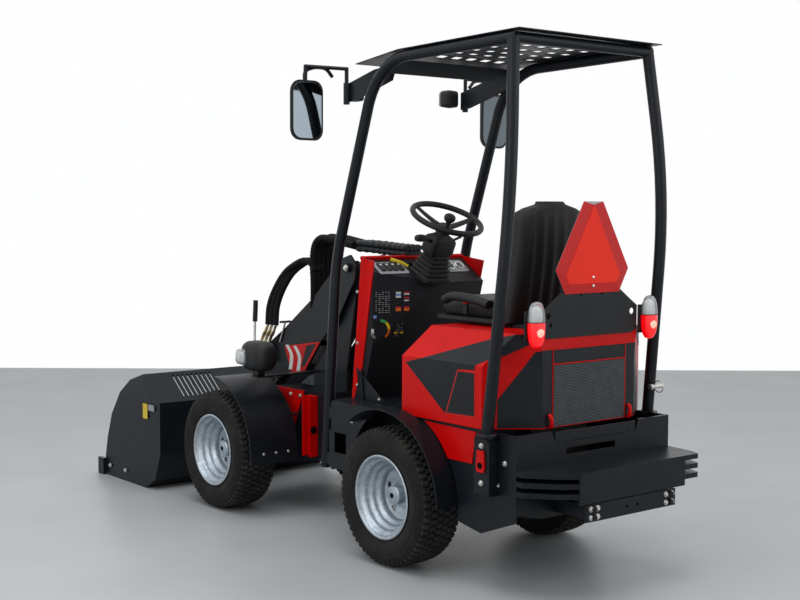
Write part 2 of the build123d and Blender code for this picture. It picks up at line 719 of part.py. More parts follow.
def seat_base():
    """Plinth between the hood and the seat, which also carries the back's foot."""
    return box((-480, -120), (-170, 170), (SEAT_FOOT_Z, SEAT_PAN_Z))


def seat_cushion():
    """Seat cushion, a pad with cut corners and a crowned top."""
    sections = []
    for z, inset, cut in ((SEAT_GAP, 10, 60), (30, 0, 60), (66, 2, 60), (91, 26, 50)):
        outline = cut_corners((inset - 395, inset - SEAT_HALF), (48 - inset, SEAT_HALF - inset), cut)
        sections.append(Pos(0, 0, SEAT_PAN_Z + z) * make_face(Polyline(*outline, close=True)))
    return loft(sections, ruled=True)


def seat_back():
    """Reclined back in its moulded shell, with a recess behind for a hand."""
    low = SEAT_PAN_Z + SEAT_GAP
    side = [
        (-300, 1124), (-262, 1124), (-240, 1200), (-318, 1500), (-372, 1522), (-470, 1495),
        (-500, 1420), (-490, 1120), (-470, low), (-400, low), (-396, 1124),
    ]
    slab = side_plate(side, 0, 2 * SEAT_HALF)
    front = [
        (-170, low), (170, low), (200, 1130), (215, 1300), (200, 1420), (150, 1500), (90, 1530),
        (-90, 1530), (-150, 1500), (-200, 1420), (-215, 1300), (-200, 1130),
    ]
    recess = box((-520, -468), (-120, 120), (1370, 1410))
    return (slab & cross_plate(front, -370, 400)) - recess


LAMP_PLATE_X = HOOD_REAR_X - 6
LAMP_PLATE_HALF = 269


def lamp_plate():
    """Sheet plate across the hood's rear edge that carries the lamps and the warning sign."""
    half = LAMP_PLATE_HALF
    outline = [
        (-half, HOOD_TOP_Z - 5), (-half, 1095), (-230, 1120), (-150, 1175), (150, 1175),
        (230, 1120), (half, 1095), (half, HOOD_TOP_Z - 5), (half - 29, 985), (29 - half, 985),
    ]
    plate = cross_plate(outline, LAMP_PLATE_X + 2, 4)
    for y in (-238, 238):
        plate = plate - bar((LAMP_PLATE_X - 5, y, 1072), (LAMP_PLATE_X + 9, y, 1072), 13)
    tab_z = (SEAT_FOOT_Z, SEAT_FOOT_Z + 4)
    return plate + box((LAMP_PLATE_X + 3, HOOD_REAR_X + 60), (-200, 200), tab_z)


def rear_lamps():
    """Upright rounded tail lamps on stubs from the lamp plate's ends."""
    lens = Pos(LAMP_PLATE_X - 16, 323, 1044) * Box(54, 74, 180)
    lens = fillet(lens.edges().filter_by(Axis.X), 34)
    stub_y = (LAMP_PLATE_HALF + SEAT_GAP, 300)
    stub = box((LAMP_PLATE_X - 2, LAMP_PLATE_X + 8), stub_y, (1030, 1070))
    return both_sides(lens + stub)


def smv_triangle():
    """Slow vehicle sign with cut corners, on its spacer."""
    outline = [(-154, 1154), (154, 1154), (207, 1248), (55, 1514), (-55, 1514), (-207, 1248)]
    plate = cross_plate(outline, LAMP_PLATE_X - 5, 2)
    spacer = box((LAMP_PLATE_X - 4.5, LAMP_PLATE_X - SEAT_GAP), (-30, 30), (1158, 1172))
    return plate + spacer


# Rear weights and hitch

SLABS = 3
SLAB_T = 20
SLAB_PITCH = 38
SLAB_Z = 405


def rear_weights():
    """Stack of ballast slabs with gaps, joined by spacers and the rear cover plate."""
    back = -REAR_OVERHANG
    front = REAR_PLATE_X - SEAT_GAP
    outline = [
        (front, WING_Y + 4), (REAR_PLATE_X - 40, WING_Y + 4), (back + 60, 350), (back + 18, 290),
        (back + 18, -400), (back + 60, -420), (front, -WING_Y - 4),
    ]
    parts = []
    for i in range(SLABS):
        parts.append(flat_plate(outline, SLAB_Z + SLAB_PITCH * i + SLAB_T / 2, SLAB_T))
    top = SLAB_Z + SLAB_PITCH * (SLABS - 1) + 1
    parts.append(box((back + 12, back + 20), (-313, 290), (SLAB_Z - 22, top + 21)))
    for y in (-250, 0, 250):
        parts.append(box((-810, -750), (y - 30, y + 30), (SLAB_Z + SLAB_T - 1, top)))
    return fuse(parts)


HITCH_Z = 346
HITCH_HOLE_R = 6


def hitch_bar():
    """Towing bar under the weights with its bolts and two small holes."""
    plate = box((-893, -881), (-254, 254), (HITCH_Z - 33, HITCH_Z + 33))
    for y in (-30, 30):
        plate = plate - bar((-900, y, HITCH_Z), (-870, y, HITCH_Z), HITCH_HOLE_R)
    parts = [plate]
    for y in (-220, 220):
        parts.append(box((-882, REAR_PLATE_X - SEAT_GAP), (y - 10, y + 10), (HITCH_Z - 28, HITCH_Z + 28)))
        for z in (HITCH_Z - 16, HITCH_Z + 16):
            parts.append(hex_bar((-REAR_OVERHANG, y, z), (-890, y, z), 12))
    return fuse(parts)


# Front frame

def front_chassis():
    """Front frame with its hinge lugs, the tower for the arm and the lamp arms."""
    plate_y = FRONT_PLATE_Y
    back = FRONT_BACK_X
    nose = FRONT_NOSE_X
    axle_x = WHEELBASE
    side_outline = [
        (back, 300), (back + 105, FRONT_LOW), (nose - 60, FRONT_LOW), (nose, 330), (nose, 430),
        (nose - 140, 500), (axle_x - 115, FRONT_TOP), (back, FRONT_TOP),
    ]
    side = side_plate(side_outline, plate_y - PLATE / 2, PLATE)
    floor = box((back + 105, nose - 60), (-plate_y, plate_y), (FRONT_LOW, FRONT_LOW + FLOOR_T))
    back_plate = box((back, back + PLATE), (-plate_y, plate_y), (300, FRONT_TOP))
    window_x = (back - 1, back + PLATE + 1)
    back_plate = back_plate - box(window_x, (-199, -36), (STEER_Z - 40, STEER_Z + 40))
    back_plate = back_plate - box(window_x, (-36, 60), (375, 498))
    nose_plate = box((nose - PLATE, nose), (-plate_y, plate_y), (330, 430))
    deck = box((back + 1, axle_x - 115), (TOWER_Y - 1, plate_y - 1), (FRONT_TOP - 10, FRONT_TOP))
    frame = fuse([floor, back_plate, nose_plate] + both_sides(side) + both_sides(deck))
    frame = frame - axle_window(axle_x, plate_y + 1)
    lugs = []
    for z in (LUG_LOW_Z + LUG_T + LUG_GAP, LUG_HIGH_Z - LUG_T - LUG_GAP):
        lugs.append(lug(back + 1, z, PIN_R + RUN_GAP))
    pin_x, pin_z = BOOM_PIN
    tower_outline = [
        (pin_x - 48, pin_z - 12), (pin_x - 34, pin_z + 34), (pin_x + 34, pin_z + 34),
        (pin_x + 50, pin_z - 12), (back + 140, 820), (back + 275, 690), (back + 280, FRONT_TOP - 60),
        (back + 265, 420), (back + 200, 484), (back + 2, 484), (back + 2, 700),
    ]
    tower = side_plate(tower_outline, TOWER_Y - PLATE / 2, PLATE)
    lamp_arm = box((back + 215, back + 265), (TOWER_Y - 2, 455), (672, 680))
    pins = [
        cross_pin(pin_x, pin_z, -BOOM_Y - 14, BOOM_Y + 14, PIN_R),
        cross_pin(*LIFT_BASE, 2 - plate_y, plate_y - 2, ARM_PIN_R),
    ]
    steer_x = (STEER_EYE[0] - 26, STEER_EYE[0] + 26)
    for z in (STEER_Z - 41, STEER_Z + 29):
        lugs.append(box(steer_x, (2 - plate_y, STEER_EYE[1] + 20), (z, z + 12)))
    return fuse([frame] + lugs + both_sides(tower) + pins + both_sides(lamp_arm))


def front_gussets():
    """Painted gusset plates and upright channels on the front frame's sides."""
    y = FRONT_PLATE_Y + SEAT_GAP
    back = FRONT_BACK_X
    top = FRONT_TOP - 4
    gusset = side_plate([(back + 265, 400), (back + 425, top), (back + 165, top)], y + 4, 8)
    channel = box((back + 60, back + 125), (y, y + 46), (290, 582))
    channel = channel - box((back + 68, back + 117), (y + 8, y + 60), (280, 600))
    channel = channel - cross_pin(back + 92, 420, y - 2, y + 12, 18)
    return both_sides(gusset) + both_sides(channel)


def front_fenders():
    """Bent strips over the front wheels, held by brackets from the frame's sides."""
    strip = arc_fender(WHEELBASE, TYRE_R + FENDER_GAP + 4, 96, 184, 272)
    bracket_x = (WHEELBASE - 315, WHEELBASE - 265)
    bracket = box(bracket_x, (FRONT_PLATE_Y + 8 + 2 * SEAT_GAP, 300), (478, 484))
    return both_sides(strip + bracket)


def headlamps():
    """Rounded headlamp housings on the lamp arms."""
    x = FRONT_BACK_X + 165
    sections = []
    for y, inset, cut in ((365, 34, 30), (395, 6, 50), (440, 0, 54), (485, 24, 44)):
        outline = cut_corners((x + inset, 688 + inset), (x + 185 - inset, 862 - inset), cut)
        sections.append(Plane.XZ.offset(-y) * make_face(Polyline(*outline, close=True)))
    stem = box((x + 60, x + 90), (410, 440), (680 + SEAT_GAP, 700))
    return both_sides(loft(sections, ruled=True) + stem)


# Loader arm

def boom_outline():
    """Side view of the loader arm, from its pin over the elbow to the hitch and back below."""
    pin_x, pin_z = BOOM_PIN
    hitch_x, hitch_z = HITCH_PIN
    top = [
        (pin_x + 50, pin_z + 45), (pin_x + 281, pin_z - 150), (hitch_x - 395, 872),
        (hitch_x - 240, 780), (hitch_x - 150, 690), (hitch_x - 90, 470), (hitch_x - 25, 330),
    ]
    low = [
        (hitch_x + 8, hitch_z + 27), (hitch_x - 26, hitch_z - 9), (hitch_x - 180, 520),
        (hitch_x - 300, 600), (pin_x + 345, pin_z - 507), (pin_x + 233, pin_z - 373),
        (pin_x + 91, pin_z - 255), (pin_x - 48, pin_z - 55),
    ]
    return top + low + [(pin_x - 58, pin_z + 15), (pin_x - 10, pin_z + 62)]


def boom_arm():
    """Two long cheeks with a top plate, a belly plate and a bored hub at each end."""
    pin_x, pin_z = BOOM_PIN
    hitch_x = HITCH_PIN[0]
    cheek = side_plate(boom_outline(), BOOM_Y - CHEEK_T / 2, CHEEK_T)
    cheek = cheek - cross_pin(*BOOM_PIN, 0, 200, PIN_R + RUN_GAP)
    web = BOOM_Y - CHEEK_T + 1
    top_outline = [
        (pin_x + 68, pin_z + 24), (pin_x + 278, pin_z - 154), (hitch_x - 402, 871),
        (hitch_x - 408, 862), (pin_x + 272, pin_z - 164), (pin_x + 62, pin_z + 14),
    ]
    belly_outline = [
        (pin_x + 352, pin_z - 503), (hitch_x - 380, 632), (hitch_x - 377, 642), (pin_x + 355, pin_z - 493),
    ]
    parts = both_sides(cheek)
    parts.append(side_plate(top_outline, 0, 2 * web))
    parts.append(side_plate(belly_outline, 0, 2 * web))
    parts.extend(both_sides(cross_pin(*LIFT_EYE, 34, web, ARM_PIN_R + 5)))
    parts.append(cross_pin(*TILT_BASE, -web, web, ARM_PIN_R))
    parts.append(cross_pin(*HITCH_PIN, -BOOM_Y, BOOM_Y, HITCH_HUB_R))
    return fuse(parts) - cross_pin(*HITCH_PIN, -200, 200, PIN_R + RUN_GAP)


ROD_SLOT_Y = 29


def quick_hitch():
    """Tool carrier plate with its ears, pins and the rail for the bucket."""
    x = BUCKET_BACK_X - 34
    plate = box((x, x + 12), (-230, 230), (110, 430)) - box((x - 1, x + 13), (-60, 60), (170, 330))
    parts = [plate]
    for y in (-222, 222):
        parts.append(box((x + 2, BUCKET_BACK_X - SEAT_GAP), (y - 8, y + 8), (100, 440)))
    parts.append(hex_bar((x + 12, -230, 432), (x + 12, 230, 432), 16))
    carrier = fuse(parts) - box((x - 6, x + 32), (-ROD_SLOT_Y, ROD_SLOT_Y), (329, 460))
    parts = [carrier]
    pin_x, pin_z = HITCH_PIN
    ear = [(pin_x - 34, pin_z - 30), (pin_x - 34, pin_z + 27), (x + 4, pin_z + 95), (x + 4, pin_z - 95)]
    for y in (-BOOM_Y - 9, BOOM_Y + 9):
        parts.append(side_plate(ear, y, 16))
    eye_x, eye_z = TILT_EYE
    tilt_ear = [
        (eye_x - 26, eye_z - 24), (eye_x - 26, eye_z + 26), (x + 4, eye_z + 40), (x + 4, eye_z - 50),
    ]
    for y in (-36, 36):
        parts.append(side_plate(tilt_ear, y, 12))
    parts.append(cross_pin(pin_x, pin_z, -BOOM_Y - 22, BOOM_Y + 22, PIN_R))
    return fuse(parts)


VISION_SLOTS = 9
SLOT_PITCH = 28
SLOT_W = 12
HEEL_X = BUCKET_BACK_X + 163
BROW_X = BUCKET_BACK_X + 177


def bucket():
    """Open bucket, a bent shell between two side plates, with slots to see through."""
    t = BUCKET_T
    back = BUCKET_BACK_X
    lip = BUCKET_LIP_X
    outer = [(lip, 0), (HEEL_X, 0), (back + 58, 60), (back, 200), (back, 470), (BROW_X, 605)]
    inner = [
        (BROW_X + 4, 605 - t), (back + t, 466), (back + t, 203), (back + 64, 66), (HEEL_X + 2, t),
        (lip - 24, t),
    ]
    shell = side_plate(outer + inner, 0, 2 * BUCKET_Y)
    side_outline = [
        (back, 200), (back, 470), (BROW_X, 605), (BROW_X + 151, 560), (lip - 240, 480),
        (lip - 140, 350), (lip - 85, 210), (lip - 58, 95), (lip - 45, 12), (HEEL_X, 0),
        (back + 58, 60),
    ]
    ends = both_sides(side_plate(side_outline, BUCKET_Y - t / 2, t))
    corner = box((lip - 70, lip - 6), (BUCKET_Y - 2, BUCKET_Y + 20), (0, 92))
    slots = []
    for side in (1, -1):
        for i in range(VISION_SLOTS):
            y = side * (290 + SLOT_PITCH * (i - (VISION_SLOTS - 1) / 2))
            slots.append(box((back + 28, back + 158), (y - SLOT_W / 2, y + SLOT_W / 2), (475, 600)))
    shell = shell - Compound(children=slots)
    return fuse([shell] + ends + both_sides(corner))


# Cylinders

def cylinder_pair(base, eye, place, barrel_r, rod_r, eye_w, pin_r, tip_gap, retract):
    """Barrel and rod between two pins, with room in the bore for the rod to go in."""
    start = Vector(*place(base))
    end = Vector(*place(eye))
    axis = (end - start).normalized()
    length = (end - start).length
    side = Vector(*place(base, 1)) - start
    half = side * (eye_w / 2)
    frame = Plane(start, x_dir=side, z_dir=axis)
    eye_half = barrel_r * 0.8
    low = (Align.CENTER, Align.CENTER, Align.MIN)
    barrel = frame * Pos(0, 0, eye_half) * Cylinder(barrel_r, length - tip_gap - eye_half, align=low)
    eye_block = frame * Box(eye_w, 2 * eye_half, 2 * eye_half)
    barrel = barrel + eye_block - bar(start - half * 2, start + half * 2, pin_r + RUN_GAP)
    bore_start = start + axis * (barrel_r * 1.6)
    barrel = barrel - bar(bore_start, start + axis * (length - tip_gap + 1), rod_r + RUN_GAP)
    rod_half = pin_r + 9
    rod = bar(bore_start + axis * (retract + 6), end - axis * (rod_half - 1), rod_r)
    rod = rod + Plane(end, x_dir=side, z_dir=axis) * Box(eye_w, 2 * rod_half, 2 * rod_half)
    rod = rod - bar(end - half * 2, end + half * 2, pin_r)
    return barrel, rod


def arm_point(pin, y=0):
    """Point of the upright plane of the loader arm."""
    return (pin[0], y, pin[1])


def steer_point(pin, up=0):
    """Point of the level plane of the steering cylinder."""
    return (pin[0], pin[1], STEER_Z + up)


def coupler_block():
    """Block of hydraulic couplings on the arm's left cheek, with its lever."""
    x = HITCH_PIN[0] - 288
    y = BOOM_Y + 26
    block = box((x, x + 148), (BOOM_Y + SEAT_GAP, BOOM_Y + 52), (690, 770))
    parts = [block, hex_bar((x + 133, y, 760), (x + 148, y, 1000), 9)]
    for i in range(3):
        foot = x + 18 + 36 * i
        parts.append(hex_bar((foot, y, 765), (foot - 22, y, 850), 15))
    return fuse(parts)


# Hydraulic hoses in their textile sleeve

def sleeve(points, radii, half_w, half_t):
    """Flat sleeve of hoses along straight runs and tangent arcs."""
    path = FilletPolyline(*points, radius=radii)
    outline = cut_corners((-half_t, -half_w), (half_t, half_w), half_t * 0.7)
    start = Plane(origin=path @ 0, x_dir=(0, 0, 1), z_dir=path % 0)
    return sweep(start * make_face(Polyline(*outline, close=True)), path=path)


def corner_radii(points):
    """Largest arcs that a route's runs leave room for, one for each corner."""
    radii = []
    for before, corner, after in zip(points, points[1:], points[2:]):
        arriving = Vector(*corner) - Vector(*before)
        leaving = Vector(*after) - Vector(*corner)
        turn = math.radians(arriving.get_angle(leaving))
        radii.append(0.45 * min(arriving.length, leaving.length) / math.tan(turn / 2))
    return radii


def pivot_hoses():
    """Sleeve from the leg shield's top edge forward to the loader arm's pin."""
    x = TUB_TOP[0]
    pin_x = BOOM_PIN[0]
    points = [(x + 8, 0, 1292), (x + 90, 0, 1296), (pin_x - 170, 10, 1308), (pin_x - 4, 20, 1306)]
    return sleeve(points, corner_radii(points), 44, 20)


def arm_hoses():
    """Sleeve that loops over the arm's pin and runs down on the arm to the couplings."""
    pin_x = BOOM_PIN[0]
    end_x = HITCH_PIN[0] - 288
    points = [
        (pin_x + 4, 20, 1306), (pin_x + 110, 24, 1312), (pin_x + 215, 30, 1330),
        (pin_x + 300, 34, 1290), (pin_x + 330, 38, 1190), (pin_x + 366, 42, 1090),
        (end_x - 180, 46, 1050), (end_x - 90, 58, 1010), (end_x - 10, 72, 930),
    ]
    return sleeve(points, corner_radii(points), 40, 20)


def build():
    """Make every node."""
    os.makedirs("parts", exist_ok=True)
    for name, x, side in (("rear_left", 0, 1), ("rear_right", 0, -1),
                          ("front_left", WHEELBASE, 1), ("front_right", WHEELBASE, -1)):
        save(f"tyre_{name}", tyre(x, side))
        save(f"rim_{name}", rim(x, side))
    save("rear_axle", axle(0))
    save("front_axle", axle(WHEELBASE))
    save("rear_chassis", rear_chassis())
    save("foot_deck", foot_deck())
    save("side_panels", *side_panels())
    save("rear_fenders", *rear_fenders())
    save("dash_tub", dash_tub())
    save("console", console())
    save("steering_column", steering_column())
    save("steering_wheel", steering_wheel())
    save("canopy_frame", canopy_frame())
    save("canopy_roof", canopy_roof())
    save("mirrors", *mirrors())
    save("work_lamps", *work_lamps())
    save("engine_block", engine_block())
    save("hood_shell", hood_shell())
    save("grille", grille())
    save("seat_base", seat_base())
    save("seat_cushion", seat_cushion())
    save("seat_back", seat_back())
    save("lamp_plate", lamp_plate())
    save("rear_lamps", *rear_lamps())
    save("smv_triangle", smv_triangle())
    save("rear_weights", rear_weights())
    save("hitch_bar", hitch_bar())
    save("front_chassis", front_chassis())
    save("front_gussets", *front_gussets())
    save("front_fenders", *front_fenders())
    save("headlamps", *headlamps())
    save("boom_arm", boom_arm())
    save("coupler_block", coupler_block())
    save("quick_hitch", quick_hitch())
    save("bucket", bucket())
    save("pivot_hoses", pivot_hoses())
    save("arm_hoses", arm_hoses())
    # barrel and rod radii, eye width, pin, gap at the rod's eye and room left in the bore
    lift = cylinder_pair(LIFT_BASE, LIFT_EYE, arm_point, 34, 18, 56, ARM_PIN_R, 55, 0)
    save("lift_barrel", lift[0])
    save("lift_rod", lift[1])
    tilt = cylinder_pair(TILT_BASE, TILT_EYE, arm_point, 30, 16, 50, ARM_PIN_R, 130, 66)
    save("tilt_barrel", tilt[0])
    save("tilt_rod", tilt[1])
    steer = cylinder_pair(STEER_BASE, STEER_EYE, steer_point, 24, 13, 34, STEER_PIN_R, 125, 96)
    save("steer_barrel", steer[0])
    save("steer_rod", steer[1])


build()
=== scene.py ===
# %% [markdown]
# # A small wheel loader, dressed for its picture
# The real machine is a compact loader that bends in the middle: a rear frame with the engine,
# seat and canopy, and a front frame with the arm and the bucket. The measured solids come from
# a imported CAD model. They could be drawn again here, but then two models would drift apart, so
# this script loads them as a frame and only adds what a solid modeller does badly.

# %% Load the measured frame
import math

import bmesh
import bpy
import numpy as np
from mathutils import Matrix, Vector


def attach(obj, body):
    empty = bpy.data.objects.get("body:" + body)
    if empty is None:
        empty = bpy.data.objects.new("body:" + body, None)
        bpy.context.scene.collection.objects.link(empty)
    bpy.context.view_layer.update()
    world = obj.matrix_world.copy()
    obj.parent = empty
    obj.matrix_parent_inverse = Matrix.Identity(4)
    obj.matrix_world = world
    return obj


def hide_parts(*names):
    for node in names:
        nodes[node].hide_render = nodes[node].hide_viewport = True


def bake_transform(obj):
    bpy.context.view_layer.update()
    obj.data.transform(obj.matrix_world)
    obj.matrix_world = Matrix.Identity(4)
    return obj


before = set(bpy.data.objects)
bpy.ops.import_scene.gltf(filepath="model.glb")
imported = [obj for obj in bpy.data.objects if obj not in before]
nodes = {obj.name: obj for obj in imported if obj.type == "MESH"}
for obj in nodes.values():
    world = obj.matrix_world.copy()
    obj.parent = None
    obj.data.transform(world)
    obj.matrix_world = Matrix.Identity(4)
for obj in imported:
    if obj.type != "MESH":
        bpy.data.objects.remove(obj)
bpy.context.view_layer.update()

# %% [markdown]
# All sizes below are millimetres measured from the middle of the rear axle, as on a workshop
# drawing: x forward, y to the driver's left, z up from the floor. The frame itself counts in
# metres from the machine's middle. One subtraction and one division at the moment a mesh is
# made keep every number in the script readable, which is why no object is ever moved.

# %% Places and sizes
AXLE_X = 802.5
WHEELBASE = 1355.0
WHEEL_Y = 435.0
TYRE_R = 292.0
LEFT, RIGHT = 1, -1
ACROSS = (0, 1, 0)
POLE = 0.1  # a lathe's profile ends this far from its axis


def metres(points):
    """Millimetres from the rear axle become metres in the frame: subtract, then divide."""
    return (np.asarray(points, float) - (AXLE_X, 0.0, 0.0)) / 1000.0


# %% [markdown]
# Every new shape is a sheet of points worked out with numpy. A grid has two directions, such
# as round and along. Neighbouring rows and columns give its four-cornered faces, so one helper
# serves tyres, lamps, hoses and cushions. Writing the faces by hand would be slow and unsure.

# %% Surfaces from grids of points
def grid(points, wrap_rows=False, wrap_columns=False):
    """Faces between row i, i+1 and column j, j+1; a wrapped direction joins its end to its start."""
    rows, columns = points.shape[:2]
    i, j = np.meshgrid(
        np.arange(rows if wrap_rows else rows - 1),
        np.arange(columns if wrap_columns else columns - 1),
        indexing="ij",
    )
    down, across = (i + 1) % rows, (j + 1) % columns
    corners = (i * columns + j, down * columns + j, down * columns + across, i * columns + across)
    return points.reshape(-1, 3), np.stack(corners, -1).reshape(-1, 4).tolist()


def loft(rings, caps=True):
    """A skin over closed rings [ring, point, xyz], with a flat lid on the first and the last."""
    count = rings.shape[1]
    points, faces = grid(rings, wrap_columns=True)
    if caps:
        faces.append(list(range(count)))
        faces.append(list(range(len(points) - count, len(points))))
    return points, faces


def merge(*surfaces):
    """Several surfaces as one: each face number grows by the points that came before it."""
    points, faces, start = [], [], 0
    for some_points, some_faces in surfaces:
        points.append(np.asarray(some_points, float))
        faces += [[corner + start for corner in face] for face in some_faces]
        start += len(some_points)
    return np.concatenate(points), faces


def mirrored(surface):
    """The same surface on the machine's other side: y changes its sign."""
    return surface[0] * (1.0, -1.0, 1.0), surface[1]


def turns(count):
    """Equal angles once round the circle: two pi times k over count."""
    return np.linspace(0, 2 * np.pi, count, endpoint=False)


def squarish(angle, power):
    """Cosine and sine pushed out to a rounded square: each over the power mean of the two."""
    c, s = np.cos(angle), np.sin(angle)
    push = (np.abs(c) ** power + np.abs(s) ** power) ** (-1 / power)
    return push * c, push * s


def lathe(profile, centre, steps=96, closed=False, axis="y"):
    """A profile of (radius, offset) pairs turned round an axis: radius times sine and cosine."""
    profile = np.asarray(profile, float)
    angle = turns(steps)[:, None]
    radius, offset = profile[None, :, 0], np.broadcast_to(profile[None, :, 1], (steps, len(profile)))
    first, second = radius * np.cos(angle), radius * np.sin(angle)
    order = {"x": (offset, first, second), "y": (second, offset, first), "z": (first, second, offset)}
    points = np.stack(order[axis], -1) + np.asarray(centre, float)
    return grid(points, wrap_rows=True, wrap_columns=closed)


def disc(radius, low, high, centre, steps, axis="y"):
    """A flat round plate: the lathe turns the three sides of a rectangle."""
    return lathe([(POLE, low), (radius, low), (radius, high), (POLE, high)], centre, steps, axis=axis)


def tube(path, radius, sides=14, up=(0, 0, 1), flat=1.0):
    """A round or flattened section carried along a path, square to the path's own direction."""
    path = np.asarray(path, float)
    along = np.gradient(path, axis=0)
    along /= np.linalg.norm(along, axis=1)[:, None]
    side = np.cross(along, np.asarray(up, float))
    side /= np.linalg.norm(side, axis=1)[:, None]
    over = np.cross(side, along)
    angle = turns(sides)[None, :, None]
    radius = np.broadcast_to(np.asarray(radius, float), (len(path),))[:, None, None]
    return loft(path[:, None] + radius * (np.cos(angle) * side[:, None] + flat * np.sin(angle) * over[:, None]))


def curve(corners, steps):
    """A soft line through the corners: each run is a cubic whose slope is set by its neighbours."""
    p = np.asarray(corners, float)
    p = np.concatenate([2 * p[:1] - p[1:2], p, 2 * p[-1:] - p[-2:-1]])
    s = np.linspace(0, len(p) - 3, steps)
    k = np.minimum(s.astype(int), len(p) - 4)
    t = (s - k)[:, None]
    a, b, c, d = p[k], p[k + 1], p[k + 2], p[k + 3]
    return 0.5 * (2 * b + (c - a) * t + (2 * a - 5 * b + 4 * c - d) * t**2 + (3 * b - a - 3 * c + d) * t**3)


def square(low, high):
    """The four corners of a rectangle between two opposite ones."""
    return [low, (high[0], low[1]), high, (low[0], high[1])]


def rounded(low, high, radius, steps=5):
    """A rectangle's outline with quarter circles of that radius at its four corners."""
    (u0, v0), (u1, v1) = np.add(low, radius), np.subtract(high, radius)
    parts = []
    for quarter, (u, v) in enumerate(((u1, v1), (u0, v1), (u0, v0), (u1, v0))):
        angle = np.linspace(0, np.pi / 2, steps) + quarter * np.pi / 2
        parts.append(np.stack([u + radius * np.cos(angle), v + radius * np.sin(angle)], -1))
    return np.concatenate(parts)


def slab(outline, plane, low, high):
    """A flat outline in plane xz, yz or xy, given thickness between two values of the third axis."""
    outline = np.asarray(outline, float)
    a, b = outline[:, 0], outline[:, 1]
    rings = []
    for level in (low, high):
        c = np.full(len(a), float(level))
        rings.append(np.stack({"xz": (a, c, b), "yz": (c, a, b), "xy": (a, b, c)}[plane], -1))
    return loft(np.stack(rings))


def box(low, high):
    """A block between two corners: its outline on the floor, raised."""
    return slab(square(low[:2], high[:2]), "xy", low[2], high[2])


print("grids, lathes, tubes and slabs are ready")


# %% [markdown]
# A finished surface is never one flat colour. Paint has orange peel and dust, zinc has
# crystals, rubber is dusty and plastic is grained. Each finish is therefore a small node
# network: large noise tints the colour, other noise varies the gloss, fine noise makes a bump,
# and the Bevel node rounds every sharp edge a little, so that edges catch light as real ones do.

# %% Finishes
DUST = (128, 120, 108)
GLASS_IOR = 1.45


def linear(colour):
    """The shader's linear value of a colour written as 0 to 255: a power of 2.2 of its share."""
    return tuple((c / 255.0) ** 2.2 for c in colour)


def plug(tree, node, **sockets):
    """Each named socket gets a constant, or a link where the value is another node's output."""
    for name, value in sockets.items():
        socket = node.inputs[name.replace("_", " ")]
        if isinstance(value, bpy.types.NodeSocket):
            tree.links.new(value, socket)
        else:
            socket.default_value = value
    return node


def add_node(tree, kind, **sockets):
    """A new node with its sockets plugged."""
    return plug(tree, tree.nodes.new("ShaderNode" + kind), **sockets)


def finish(name, colour, rough, metal=0.0, coat=0.0, mottle=0.08, scale=6.0, grain=0.02,
           grain_scale=400.0, pattern="noise", dust=0.0, glow=0.0, clear=0.0, edge=0.0015,
           spread=0.08, shine=0.5):
    """Principled shader: colour, gloss and bump vary with noise on the object's own coordinates."""
    material = bpy.data.materials.new(name)
    material.use_nodes = True
    tree = material.node_tree
    place = add_node(tree, "TexCoord").outputs["Object"]

    def noise(size, detail=3.0):
        return add_node(tree, "TexNoise", Scale=size, Detail=detail, Vector=place).outputs["Fac"]

    if pattern == "crystal":
        cells = add_node(tree, "TexVoronoi", Scale=scale, Vector=place)
        spots = add_node(tree, "SeparateColor", Color=cells.outputs["Color"]).outputs["Red"]
    else:
        spots = noise(scale)
    base = np.array(linear(colour))
    ramp = add_node(tree, "ValToRGB", Fac=spots)
    for k, (position, share) in enumerate(((0.3, 1 - mottle), (0.7, 1 + mottle))):
        ramp.color_ramp.elements[k].position = position
        ramp.color_ramp.elements[k].color = (*np.clip(base * share, 0, 1), 1)
    tint = ramp.outputs["Color"]
    if dust:
        veil = add_node(tree, "MapRange", From_Min=0.45, From_Max=0.75, To_Max=dust, Value=noise(14.0, 6.0))
        mix = tree.nodes.new("ShaderNodeMix")
        mix.data_type = "RGBA"
        tree.links.new(veil.outputs["Result"], mix.inputs[0])
        tree.links.new(tint, mix.inputs[6])
        mix.inputs[7].default_value = (*linear(DUST), 1)
        tint = mix.outputs[2]
    gloss = add_node(tree, "MapRange", To_Min=max(rough - spread, 0.02), To_Max=min(rough + spread, 1.0),
                     Value=noise(scale * 2.5))
    soft_edge = add_node(tree, "Bevel", Radius=edge)
    soft_edge.samples = 4
    if pattern == "weave":
        height = add_node(tree, "TexWave", Scale=grain_scale, Vector=place).outputs["Fac"]
    elif pattern == "leather":
        height = add_node(tree, "TexVoronoi", Scale=grain_scale, Vector=place).outputs["Distance"]
    else:
        height = noise(grain_scale, 2.0)
    bump = add_node(tree, "Bump", Strength=0.35, Distance=grain / 10.0, Height=height,
                    Normal=soft_edge.outputs["Normal"])
    shader = plug(tree, tree.nodes["Principled BSDF"], Base_Color=tint, Roughness=gloss.outputs["Result"],
                  Normal=bump.outputs["Normal"], Metallic=metal, Coat_Weight=coat, Coat_Roughness=0.08,
                  Specular_IOR_Level=shine)
    # glow lights the lamp lenses; on the sign finishes, which are no lamps, it is painted light
    if glow:
        plug(tree, shader, Emission_Color=(*base, 1), Emission_Strength=glow)
    if clear:
        plug(tree, shader, Transmission_Weight=clear, IOR=GLASS_IOR)
    return material


